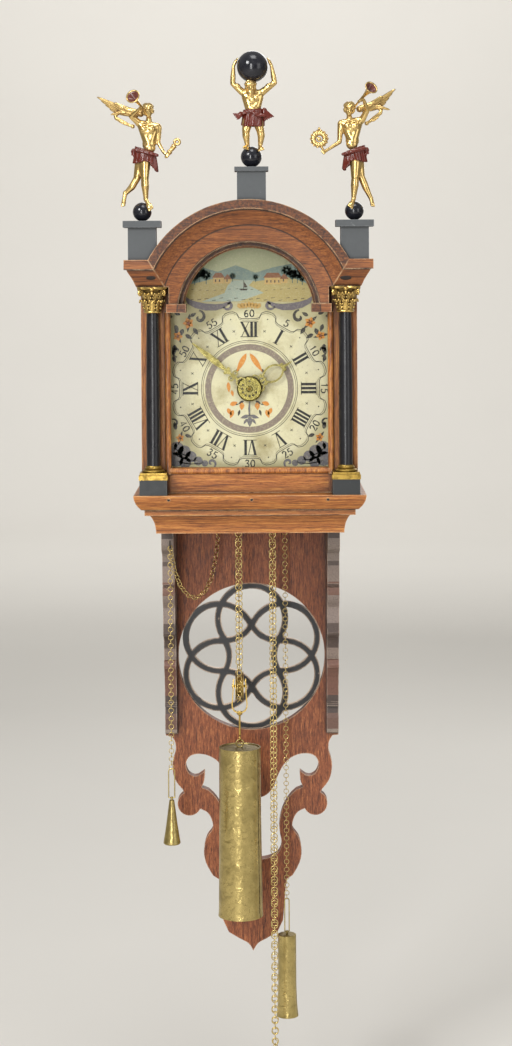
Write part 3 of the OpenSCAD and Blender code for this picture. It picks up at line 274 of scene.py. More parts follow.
def reach_from(tree, height):
    """Distance from a centre at that height, in metres, as seen from the front."""
    split = add(tree, "SeparateXYZ", links={0: add(tree, "TexCoord").outputs["Object"]})
    up = maths(tree, "SUBTRACT", split.outputs["Z"], height)
    x2 = maths(tree, "MULTIPLY", split.outputs["X"], split.outputs["X"])
    square = maths(tree, "MULTIPLY_ADD", up, up, x2)
    return maths(tree, "SQRT", square)


def grain_place(tree, lie, stiles=None):
    """Coordinates stretched along the grain. lie holds the feature size in mm along X, Y and Z.

    With stiles the grain stands upright further than that many metres from the middle.
    """
    place = add(tree, "TexCoord").outputs["Object"]
    if stiles is not None:
        split = add(tree, "SeparateXYZ", links={0: place})
        away = maths(tree, "ABSOLUTE", split.outputs["X"])
        beyond = maths(tree, "GREATER_THAN", away, stiles)
        turned = add(tree, "CombineXYZ", links={
            "X": split.outputs["Z"], "Y": split.outputs["Y"], "Z": split.outputs["X"]})
        place = add(tree, "Mix", {"data_type": "VECTOR"},
                    {0: beyond, 4: place, 5: turned.outputs[0]}).outputs[1]
    scale = tuple(per_mm(size) for size in lie)
    return add(tree, "Mapping", {"Scale": scale}, {"Vector": place}).outputs[0]


def edge_mask(tree, width_mm):
    """1 on sharp edges, 0 on flat faces: where hands and cloths have rubbed the finish."""
    rounded = add(tree, "Bevel", {"Radius": width_mm * MM, "samples": 4})
    true = add(tree, "NewGeometry").outputs["Normal"]
    agree = add(tree, "VectorMath", {"operation": "DOT_PRODUCT"}, {0: rounded.outputs[0], 1: true})
    return span(tree, agree.outputs["Value"], 0.99, 0.82)


def crease_mask(tree, reach_mm, least, most):
    """Darkening in inner corners, from ambient occlusion: painted shade, on brass and gilding also tarnish
    and bole in the hollows. Most of it where the surface closes in, none on open faces.
    """
    hollow = add(tree, "AmbientOcclusion", {"samples": 4, "Distance": reach_mm * MM})
    return span(tree, hollow.outputs["AO"], 0.45, 0.9, least=most, most=least)


def joint_lines(tree, coordinate, places):
    """1 on narrow lines at those places, in mm along a coordinate: dark lines in a moulding's quirks, partly
    wax and soot, partly painted shade where one step overhangs the next.
    """
    total = None
    for place in places:
        off = maths(tree, "SUBTRACT", coordinate, place * MM)
        near = maths(tree, "ABSOLUTE", off)
        line = span(tree, near, 1.1 * MM, 0.5 * MM)
        if total is not None:
            line = maths(tree, "MAXIMUM", total, line)
        total = line
    return total


def varnished_oak(name, tones, lie, stiles=None, worn="#d9b184", wear=0.85, gloss=0.44, rim=None, quirks=()):
    """Quarter-sawn oak under old shellac: fine long grain, dark pores, dark joints and rubbed pale arrises,
    with painted shade in its recesses and inner steps.

    rim holds the inner and the outer radius in metres past which an arch is dark and pitted. quirks are the
    places of dark lines in mm: radii on an arch, heights on a straight moulding.
    """
    made, tree, shader = new_material(name)
    dark, mid, light = tones
    place = grain_place(tree, lie, stiles)
    broad = noise(tree, place, 0.3, 3.0, 0.55, twist=0.3)
    grain = noise(tree, place, 1.0, 5.0, 0.7, twist=0.25)
    share = maths(tree, "MULTIPLY", grain, 0.65)
    both = maths(tree, "MULTIPLY_ADD", broad, 0.35, share)
    tone = add(tree, "ValToRGB", {"stops": [(0.36, dark), (0.5, mid), (0.66, light)]}, {"Fac": both})
    pores = noise(tree, place, 2.6, 2.0, 0.7)
    pore = span(tree, pores, 0.57, 0.66, most=0.85)
    body = blend(tree, pore, tone.outputs["Color"], linear(dark))
    spot = add(tree, "TexCoord").outputs["Object"]
    if rim:
        reach = reach_from(tree, ARCH_Z)
        past = span(tree, reach, rim[1] - 0.4 * MM, rim[1] + 0.4 * MM)
        within = span(tree, reach, rim[0] + 0.4 * MM, rim[0] - 0.4 * MM)
        pits = noise(tree, spot, per_mm(3.2), 4.0, 0.75)
        pit = span(tree, pits, 0.4, 0.62, least=0.3, most=0.95)
        either = maths(tree, "MAXIMUM", past, within)
        soot = maths(tree, "MULTIPLY", either, pit)
        body = blend(tree, soot, body, linear("#2c1710"))
    # Painted shade: a broad darkening in the recesses and dark lines in the inner steps, both from occlusion.
    wide = blend(tree, crease_mask(tree, 14, 0.0, 0.6), body, linear("#1c0f08"))
    joints_and_shade = blend(tree, crease_mask(tree, 3, 0.0, 0.95), wide, linear("#120905"))
    # Dark lines in the quirks: partly wax and soot, partly painted shade where one step overhangs the next.
    if quirks:
        along = reach if rim else add(tree, "SeparateXYZ", links={0: spot}).outputs["Z"]
        line = maths(tree, "MULTIPLY", joint_lines(tree, along, quirks), 0.85)
        joints_and_shade = blend(tree, line, joints_and_shade, linear("#150b06"))
    patchy = noise(tree, spot, per_mm(18.0), 4.0, 0.7)
    rub = span(tree, patchy, 0.36, 0.54)
    rubbed = maths(tree, "MULTIPLY", rub, edge_mask(tree, 2.0))
    amount = maths(tree, "MULTIPLY", rubbed, wear)
    final = blend(tree, amount, joints_and_shade, linear(worn))
    bump = relief(tree, both, 0.3, 0.5 * MM)
    sunk = relief(tree, pore, 0.35, 0.3 * MM, under=bump, sunk=True)
    fill(tree, shader, {"Base Color": final, "Normal": sunk,
                        "Roughness": span(tree, grain, least=gloss - 0.1, most=gloss + 0.25)})
    return made


def worn_paint(name, coat, ground, gloss=0.5, wear=0.6, wear_width=1.4, chip_mm=9.0, streak=None, shade_bands=None,
               bare_sides=False):
    """Old oil paint or ebonising on wood: rubbed through to the ground at the arrises, with small chips.

    The bands are an upper and a lower height in metres and the tones between them: painted light and shade on
    a piece's steps, each step lighter or darker as the light falls on it. With bare_sides the paint is thin
    on every face that looks sideways.
    """
    made, tree, shader = new_material(name)
    spot = add(tree, "TexCoord").outputs["Object"]
    base = spot
    if streak:
        spot = add(tree, "Mapping", {"Scale": streak}, {"Vector": spot}).outputs[0]
    cloud = noise(tree, spot, per_mm(chip_mm), 6.0, 0.7)
    coat_rgb = linear(coat)
    dull = blend(tree, cloud, coat_rgb, tuple(min(1.0, c * 1.6 + 0.006) for c in coat_rgb))
    # Painted light and shade: each step of the piece gets its own lighter or darker tone, by how light falls
    # on it.
    if shade_bands:
        top, foot, stops = shade_bands
        height = add(tree, "SeparateXYZ", links={0: base}).outputs["Z"]
        down = span(tree, height, top, foot)
        steps = add(tree, "ValToRGB", {"stops": stops}, {"Fac": down})
        steps.color_ramp.interpolation = "CONSTANT"
        dull = blend(tree, 0.75, dull, steps.outputs["Color"])
        grain = noise(tree, base, per_mm(1.4), 4.0, 0.7)
        speck = span(tree, grain, 0.5, 0.72, most=0.75)
        dull = blend(tree, speck, dull, linear("#241812"))
    chip = span(tree, cloud, 0.66, 0.72, most=0.7)
    patch = span(tree, cloud, 0.36, 0.54)
    rub = maths(tree, "MULTIPLY", patch, edge_mask(tree, wear_width))
    amount = maths(tree, "MULTIPLY_ADD", rub, wear, chip, clamp=True)
    if bare_sides:
        facing = add(tree, "SeparateXYZ", links={0: add(tree, "NewGeometry").outputs["Normal"]})
        front = maths(tree, "ABSOLUTE", facing.outputs["Y"])
        side = span(tree, front, 0.9, 0.6, most=0.9)
        amount = maths(tree, "MAXIMUM", amount, side)
    # Painted shade: the coat darkens in the inner corners, from occlusion.
    shaded_coat = blend(tree, crease_mask(tree, 4, 0.0, 0.7), dull, linear("#0c0a08"))
    final = blend(tree, amount, shaded_coat, linear(ground))
    fill(tree, shader, {"Base Color": final, "Normal": relief(tree, cloud, 0.35, 0.3 * MM),
                        "Roughness": span(tree, cloud, least=gloss - 0.12, most=gloss + 0.2)})
    return made


def old_metal(name, bright, dull, rough=0.32, dull_mm=14.0, grime=0.8, dent_mm=0.0, dent_depth=0.0,
              stain_most=0.6, hollow_mm=5.0, seam=None):
    """Brass or iron with age: bright where rubbed, brown in the hollows, with soft cloudy tarnish.

    seam holds the axis of an upright sheet-metal tube, its X and Y in metres, and where its lapped seam
    lies, in degrees to the right of the front; the lid inside the tube is dull too.
    """
    made, tree, shader = new_material(name)
    spot = add(tree, "TexCoord").outputs["Object"]
    cloud = noise(tree, spot, per_mm(dull_mm), 5.0, 0.65)
    speck = noise(tree, spot, per_mm(1.6), 3.0)
    stain = span(tree, cloud, 0.42, 0.68, most=stain_most)
    fleck = span(tree, speck, 0.58, 0.7, most=0.55)
    first = maths(tree, "MAXIMUM", stain, fleck)
    whole = maths(tree, "MAXIMUM", first, crease_mask(tree, hollow_mm, 0.0, grime))
    height = speck
    if seam:
        split = add(tree, "SeparateXYZ", links={0: spot})
        right = maths(tree, "SUBTRACT", split.outputs["X"], seam[0])
        front = maths(tree, "SUBTRACT", seam[1], split.outputs["Y"])
        turn = maths(tree, "ARCTAN2", right, front)
        ragged = noise(tree, spot, per_mm(7.0), 4.0, 0.8)
        sway = maths(tree, "MULTIPLY_ADD", ragged, 0.16, -0.08 - math.radians(seam[2]))
        off = maths(tree, "ADD", turn, sway)
        near = maths(tree, "ABSOLUTE", off)
        line = span(tree, near, 0.05, 0.02)
        facing = add(tree, "SeparateXYZ", links={0: add(tree, "NewGeometry").outputs["Normal"]})
        lid = span(tree, facing.outputs["Z"], 0.8, 0.9, most=0.8)
        worst = maths(tree, "MAXIMUM", line, lid)
        whole = maths(tree, "MAXIMUM", whole, worst)
        height = maths(tree, "SUBTRACT", height, line)
    colour = blend(tree, whole, linear(bright), linear(dull))
    bump = relief(tree, height, 0.2, 0.2 * MM)
    if dent_mm:
        dent = noise(tree, spot, per_mm(dent_mm), 2.0, twist=0.6)
        bump = relief(tree, dent, 0.8, dent_depth * MM, under=bump)
    fill(tree, shader, {"Base Color": colour, "Metallic": 1.0,
                        "Roughness": span(tree, whole, least=rough, most=rough + 0.3), "Normal": bump})
    return made


def gold_leaf(name, gold, bole, wear=0.5):
    """Leaf over red bole on carved wood: bright on the rounds, brown-red where rubbed and in the folds, there
    partly bole, partly painted shade.
    """
    made, tree, shader = new_material(name)
    spot = add(tree, "TexCoord").outputs["Object"]
    cloud = noise(tree, spot, per_mm(8.0), 5.0, 0.6)
    gone = span(tree, cloud, 0.57, 0.7, most=wear)
    # The folds darken towards the bole, from occlusion: partly bole left in the crevices, partly painted
    # shade.
    deep = maths(tree, "MAXIMUM", gone, crease_mask(tree, 3.0, 0.0, 0.95))
    amount = maths(tree, "MAXIMUM", deep, crease_mask(tree, 9.0, 0.0, 0.7))
    colour = blend(tree, amount, linear(gold), linear(bole))
    fill(tree, shader, {"Base Color": colour, "Metallic": span(tree, amount, least=1.0, most=0.25),
                        "Roughness": span(tree, amount, least=0.24, most=0.55),
                        "Normal": relief(tree, cloud, 0.2, 0.3 * MM)})
    return made


def black_lacquer(name, colour):
    """Polished black lacquer on turned wood: deep, glossy, faintly blotched by age."""
    made, tree, shader = new_material(name)
    spot = add(tree, "TexCoord").outputs["Object"]
    cloud = noise(tree, spot, per_mm(5.0), 5.0)
    tone = linear(colour)
    fill(tree, shader, {"Base Color": blend(tree, cloud, tone, tuple(c * 2.2 + 0.006 for c in tone)),
                        "Roughness": span(tree, cloud, 0.3, 0.7, least=0.08, most=0.3),
                        "Normal": relief(tree, cloud, 0.1, 0.2 * MM)})
    return made


def window_glass(name):
    """Thin old window glass: almost clear, seen only by its reflections and a faint green cast."""
    made, tree, shader = new_material(name)
    spot = add(tree, "TexCoord").outputs["Object"]
    wave = noise(tree, spot, per_mm(60.0), 1.0)
    fill(tree, shader, {"Normal": relief(tree, wave, 0.05, 0.4 * MM), "Base Color": linear("#0e120e"),
                        "Roughness": 0.03, "Alpha": 0.06, "IOR": 1.52})
    return made


def dial_ground(name, cream):
    """Oil paint on sheet iron gone cream and greenish, with a fine crackle, brown at the rims and painted
    shade under close parts.
    """
    made, tree, shader = new_material(name)
    spot = add(tree, "TexCoord").outputs["Object"]
    cloud = noise(tree, spot, per_mm(45.0), 5.0, 0.6)
    fine = noise(tree, spot, per_mm(3.0), 4.0)
    tone = add(tree, "ValToRGB", {"stops": [(0.3, "#b3a878"), (0.5, cream), (0.7, "#ddd9b6")]},
               {"Fac": cloud})
    spots = span(tree, fine, 0.6, 0.75, most=0.35)
    stained = blend(tree, spots, tone.outputs[0], linear("#97875a"))
    rim = span(tree, reach_from(tree, DIAL_Z), 90 * MM, 98 * MM, most=0.55)
    outer = blend(tree, rim, stained, linear("#a39a63"))
    # Painted shade where other parts stand close in front of the dial.
    final = blend(tree, crease_mask(tree, 14, 0.0, 0.4), outer, linear("#6a5a34"))
    fill(tree, shader, {"Base Color": final, "Roughness": 0.42,
                        "Normal": relief(tree, fine, 0.15, 0.15 * MM)})
    return made


def brushed_paint(name, colour, thin="#cfca9f", patch=0.35):
    """Thin painter's strokes on the dial: the ground shows through where the brush ran dry."""
    made, tree, shader = new_material(name)
    spot = add(tree, "TexCoord").outputs["Object"]
    cloud = noise(tree, spot, per_mm(2.4), 4.0, 0.7)
    dry = span(tree, cloud, 0.5, 0.72, most=patch)
    fill(tree, shader, {"Base Color": blend(tree, dry, linear(colour), linear(thin)), "Roughness": 0.4})
    return made


def plain_floor(name, colour):
    """Smooth pale plaster: even, matt, shown at its own tone."""
    made, tree, shader = new_material(name)
    cloud = noise(tree, add(tree, "TexCoord").outputs["Object"], 2.0, 3.0)
    tone = linear(colour)
    fill(tree, shader, {"Base Color": blend(tree, cloud, tone, tuple(c * 0.96 for c in tone)),
                        "Roughness": 0.85})
    return made


# Shapes on the dial: flat outlines a hair in front of the plate, in mm from the arbor


class Strokes:
    """Collects flat shapes of one colour that lie on the dial."""

    def __init__(self, layer):
        """The layer counts the coats of paint from the plate."""
        self.bm = bmesh.new()
        self.y = DIAL_FACE - layer * LAYER

    def shape(self, points):
        """A filled outline."""
        verts = [self.bm.verts.new((DIAL_X + x * MM, self.y, DIAL_Z + z * MM)) for x, z in points]
        face = self.bm.faces.new(verts)
        face.normal_update()
        if face.normal.y > 0:
            face.normal_flip()

    def band(self, points, width, close=False):
        """A stroke along points; width is one number or one for each point."""
        count = len(points)
        sides = []
        for i, (x, z) in enumerate(points):
            before = points[(i - 1) % count] if close or i else points[i]
            after = points[(i + 1) % count] if close or i < count - 1 else points[i]
            dx, dz = after[0] - before[0], after[1] - before[1]
            run = math.hypot(dx, dz) or 1.0
            half = (width[i] if isinstance(width, (list, tuple)) else width) / 2
            sides.append(((x - dz / run * half, z + dx / run * half),
                          (x + dz / run * half, z - dx / run * half)))
        for i in range(count if close else count - 1):
            a, b = sides[i], sides[(i + 1) % count]
            self.shape([a[0], b[0], b[1], a[1]])

    def ring(self, radius, width, parts=144):
        """A circle round the arbor."""
        self.band([(radius * math.sin(k * math.tau / parts), radius * math.cos(k * math.tau / parts))
                   for k in range(parts)], width, close=True)

    def petal(self, x, z, length, width, degrees, parts=10):
        """A leaf or petal with its root at x, z, pointing that way clockwise from up."""
        turn = math.radians(degrees)
        out = []
        for side in (1, -1):
            for k in range(parts):
                t = k / parts if side == 1 else 1 - k / parts
                off = side * width / 2 * math.sin(math.pi * t ** 0.8)
                along = length * t
                out.append((x + along * math.sin(turn) + off * math.cos(turn),
                            z + along * math.cos(turn) - off * math.sin(turn)))
        self.shape(out[::-1])

    def dot(self, x, z, radius, parts=12):
        """A round spot."""
        self.shape([(x + radius * math.sin(k * math.tau / parts), z + radius * math.cos(k * math.tau / parts))
                    for k in range(parts)])

    def done(self, name, material):
        """Turns the shapes into one painted piece on the dial plate."""
        bmesh.ops.remove_doubles(self.bm, verts=self.bm.verts, dist=1e-7)
        return make_piece(name, self.bm, material, "case", smooth=False)


def placed(points, angle, radius, flip=False):
    """Points of a figure drawn upright about 0, 0, set on the dial at a clock angle and radius."""
    turn = math.radians(angle + (180 if flip else 0))
    cx = radius * math.sin(math.radians(angle))
    cz = radius * math.cos(math.radians(angle))
    return [(cx + x * math.cos(turn) + z * math.sin(turn), cz - x * math.sin(turn) + z * math.cos(turn))
            for x, z in points]


NUMERAL_R = 72.1
NUMERAL_H = 18.2
THICK = 3.1
THIN = 0.9
SERIF_H = 0.75
GLYPH_W = {"I": 4.9, "V": 10.4, "X": 10.8}


def roman_glyph(letter):
    """The strokes of one numeral letter, as outlines about its centre."""
    top = NUMERAL_H / 2
    if letter == "I":
        return [[(-THICK / 2, -top), (-THICK / 2, top), (THICK / 2, top), (THICK / 2, -top)]]
    wide = GLYPH_W[letter] / 2 - 1.0
    if letter == "V":
        return [[(-wide - THICK / 2, top), (-wide + THICK / 2, top), (THICK / 2 - 0.6, -top),
                 (-THICK / 2, -top)],
                [(wide - THIN / 2, top), (wide + THIN / 2, top), (0.6, -top), (-0.3, -top)]]
    return [[(-wide - THICK / 2, top), (-wide + THICK / 2, top), (wide + THICK / 2, -top),
             (wide - THICK / 2, -top)],
            [(wide - THIN / 2, top), (wide + THIN / 2, top), (-wide + THIN / 2, -top),
             (-wide - THIN / 2, -top)]]


def draw_numerals(ink):
    """Twelve radial numerals with hairline serifs that run through at head and foot."""
    for hour, text in enumerate(("XII", "I", "II", "III", "IIII", "V", "VI", "VII", "VIII", "IX", "X", "XI")):
        squeeze = 0.9 if len(text) > 3 else 1.0
        width = sum(GLYPH_W[letter] for letter in text) * squeeze
        x = -width / 2
        for letter in text:
            step = GLYPH_W[letter] * squeeze
            for outline in roman_glyph(letter):
                ink.shape(placed([(x + step / 2 + px * squeeze, pz) for px, pz in outline], 30 * hour,
                                 NUMERAL_R))
            x += step
        for z in (-NUMERAL_H / 2, NUMERAL_H / 2):
            ink.shape(placed([(-width / 2 - 0.6, z - SERIF_H / 2), (-width / 2 - 0.6, z + SERIF_H / 2),
                              (width / 2 + 0.6, z + SERIF_H / 2), (width / 2 + 0.6, z - SERIF_H / 2)],
                             30 * hour, NUMERAL_R))


# Each digit as the run of its pen on a 4 by 7 grid
PEN = {
    "0": [[(2, 0), (0.6, 1), (0, 3.5), (0.6, 6), (2, 7), (3.4, 6), (4, 3.5), (3.4, 1), (2, 0)]],
    "1": [[(0.8, 5.4), (2.2, 7), (2.2, 0)]],
    "2": [[(0.2, 5.4), (0.8, 6.7), (2, 7), (3.4, 6.4), (3.7, 5), (2.6, 3), (0.4, 0.2), (3.8, 0.2), (4, 0.9)]],
    "3": [[(0.3, 6), (1.6, 7), (3.2, 6.4), (3.4, 5), (1.8, 3.8), (3.5, 3), (3.9, 1.6), (2.6, 0.1), (1, 0.1),
           (0.1, 1.2)]],
    "4": [[(3.4, 2), (0, 2), (2.7, 7), (2.7, 0)]],
    "5": [[(3.6, 6.9), (1, 6.6), (0.7, 3.9), (2.4, 4.3), (3.8, 3.2), (3.8, 1.4), (2.4, 0), (0.9, 0.1),
           (0.1, 1.2)]],
    "6": [[(3.4, 6.6), (1.6, 6), (0.4, 4), (0.2, 1.8), (1.4, 0.1), (3, 0.3), (3.8, 1.8), (3, 3.4),
           (1.4, 3.4), (0.4, 2)]],
}
DIGIT_R = 91.5
DIGIT_H = 8.6


def draw_minutes(ink):
    """The minute figures 5 to 60, upright to a reader below in the lower half."""
    grid = DIGIT_H / 7
    for mark in range(5, 65, 5):
        angle = mark * 6
        flip = 100 < angle < 260
        text = str(mark)
        for i, digit in enumerate(text):
            left = (i - len(text) / 2) * 5.6 + 0.8
            for run in PEN[digit]:
                points = [((left + x) * grid, (z - 3.5) * grid) for x, z in run]
                swell = [1.7 if 0 < k < len(points) - 1 and k % 3 else 1.0 for k in range(len(points))]
                ink.band(placed(points, angle, DIGIT_R, flip), swell)


def minute_track():
    """The scalloped minute line: a straight stretch outside each hour and a lobe between the hours."""
    flat, notch, lobe = 85.2, 88.5, 95.6
    local = [(-15, lobe + 0.6), (-12, lobe), (-9.4, 93), (-8.6, notch + 1), (-8.2, notch - 1),
             (-6.2, flat + 0.6)]
    half = [(a, r) for a, r in local] + [(-3, flat), (0, flat - 0.1), (3, flat)]
    sector = half + [(-a, r) for a, r in reversed(local[1:])]
    return [(r * math.sin(math.radians(30 * h + a)), r * math.cos(math.radians(30 * h + a)))
            for h in range(12) for a, r in sector]


def scroll_stroke(x, z, size, turns, start, width, parts=26, hand=1):
    """Points and widths of a painted scroll that winds into its end."""
    points, widths = [], []
    for k in range(parts):
        t = k / (parts - 1)
        angle = math.radians(start) + hand * turns * math.tau * t
        reach = size * (1 - t) ** 1.2 + size * 0.12
        points.append((x + reach * math.cos(angle), z + reach * math.sin(angle)))
        widths.append(width * (0.35 + 1.1 * math.sin(math.pi * min(1, 0.12 + t * 0.9))))
    return points, widths


def draw_flower(petals, eye, leaves, x, z, size, count=5, turn=0):
    """A painted blossom with a darker eye and two leaves."""
    for k in range(count):
        petals.petal(x, z, size, size * 0.75, turn + k * 360 / count)
    eye.dot(x, z, size * 0.26)
    leaves.petal(x, z, size * 1.7, size * 0.55, turn + 28)
    leaves.petal(x, z, size * 1.6, size * 0.5, turn + 205)


class TAILCLOCK_OT_dial(bpy.types.Operator):
    """Paint the dial: ring, numerals, minute line, flowers and scrolls"""

    bl_idname = "tailclock.dial"
    bl_label = "Dial"

    def execute(self, context):
        paint = context.scene.tailclock_paint
        clothe(dial_ground("Oil-painted sheet iron", paint.cream), "dial_plate")
        black = brushed_paint("Lamp black", paint.black, patch=0.12)
        ring_paint = brushed_paint("Umber wash", paint.ring, patch=0.5)
        orange = brushed_paint("Orange ochre", paint.orange, "#e6c070", 0.7)
        dark = brushed_paint("Dark leaf green", "#2e2a22")
        grey = brushed_paint("Grey wash", paint.grey, "#b9b18e", 0.5)

        ring = Strokes(1)
        ring.ring(50.4, 7.4)
        ring.done("dial_ring", ring_paint)

        ink = Strokes(2)
        ink.ring(58.6, 0.6)
        ink.ring(56.6, 0.45)
        draw_numerals(ink)
        draw_minutes(ink)
        track = minute_track()
        ink.band(track, 0.75, close=True)
        ink.band([(x * 0.978, z * 0.978) for x, z in track], 0.45, close=True)
        for k in range(12):
            angle = math.radians(30 * k + 15)
            x, z = 72 * math.sin(angle), 72 * math.cos(angle)
            ink.band([(x - 1.5, z - 1.2), (x + 1.5, z + 1.2)], 0.6)
            ink.band([(x - 1.4, z + 1.3), (x + 1.4, z - 1.3)], 0.6)
            ink.dot(87 * math.sin(angle), 87 * math.cos(angle), 0.8)
        ink.done("dial_figures", black)

        petals, eyes, leaves, washes = Strokes(2), Strokes(4), Strokes(1), Strokes(1)
        # Two long petals over the arbor and sprays below it
        petals.petal(-3.5, 43, 27, 6.5, 208)
        petals.petal(0.5, 43, 28, 6.5, 146)
        leaves.petal(-12, 26, 9, 3.4, 215)
        leaves.petal(14, 24, 9, 3.4, 140)
        for side in (-1, 1):
            petals.petal(side * 24, -20, 10, 5.5, side * -70)
            petals.petal(side * 27, -24, 10, 5.0, side * -150)
            petals.petal(side * 20, -26, 11, 5.0, side * 160)
            petals.petal(side * 9, -17, 9.5, 6.0, side * 175)
            leaves.petal(side * 22, -18, 9, 3.0, side * -100)
            leaves.petal(side * 12, -26, 8, 3.0, side * 165)
            leaves.petal(side * 7, -15, 8, 3.2, side * 120)
        petals.petal(-26, 8, 13, 4.5, 175)
        petals.petal(-22, -2, 8, 3.6, 165)
        washes.band([(0, -16), (-0.6, -25), (0, -34)], [1.6, 2.6, 2.2])
        washes.petal(0, -33, 12, 4.6, 255)
        washes.petal(0, -33, 12, 4.6, 105)
        washes.petal(0, -34, 13, 6.5, 180)
        washes.petal(-3, -37, 8, 3.2, 215)
        washes.petal(3, -37, 8, 3.2, 145)
        # Corner sprays
        for side in (-1, 1):
            draw_flower(petals, eyes, leaves, side * 74, 80, 7.0, 5, side * 20)
            draw_flower(petals, eyes, leaves, side * 87, 64, 6.0, 5, side * 50)
            draw_flower(petals, eyes, leaves, side * 85, -60, 5.4, 5, side * 10)
            for x, z, size, way in ((80, 73, 11, 150), (90, 78, 10, 200), (84, 90, 10, 60), (91, 54, 12, 180),
                                    (78, 66, 10, 240), (90, -50, 10, 10), (90, -66, 9, 170),
                                    (68, 74, 10, 215),
                                    (72, 88, 9, 300), (93, 88, 9, 90), (79, -56, 9, 250), (93, 40, 9, 200)):
                leaves.petal(side * x, z, size, size * 0.5, side * way)
            for x, z, size, turns, start, width in ((61, 87, 7.5, 0.9, 90, 2.8), (88, 46, 6.5, 0.8, 270, 2.2),
                                                    (92, -42, 5.0, 0.8, 60, 1.8)):
                points, widths = scroll_stroke(side * x, z, size, turns, start if side > 0 else 180 - start,
                                               width,
                                               hand=side)
                leaves.band(points, widths)
            # Grey cloud-like leaves in the bottom corners
            for x, z, radius in ((89, -73, 8.5), (80, -77, 8), (72, -83, 7), (63, -88, 5.5), (90, -86, 9),
                                 (79, -90, 7), (55, -91, 4)):
                washes.dot(side * x, z, radius, 20)
            for x, z, size, way in ((92, -72, 22, -118), (92, -80, 30, -104), (90, -88, 34, -94)):
                leaves.band([(side * (x + t * size * math.sin(math.radians(way))),
                              z + t * size * math.cos(math.radians(way)) - 2.5 * math.sin(math.pi * t))
                             for t in (0, 0.25, 0.5, 0.75, 1)], [0.4, 1.2, 1.4, 1.0, 0.3])
            points, widths = scroll_stroke(side * 47, -91, 5.5, 1.0, 250 if side > 0 else 290, 2.2,
                                           hand=-side)
            washes.band(points, widths)
        petals.done("dial_petals", orange)
        eyes.done("dial_flower_eyes", brushed_paint("Burnt sienna", "#7c3a17"))
        leaves.done("dial_leaves", dark)
        washes.done("dial_scrolls", grey)
        paint_arch()
        return {"FINISHED"}


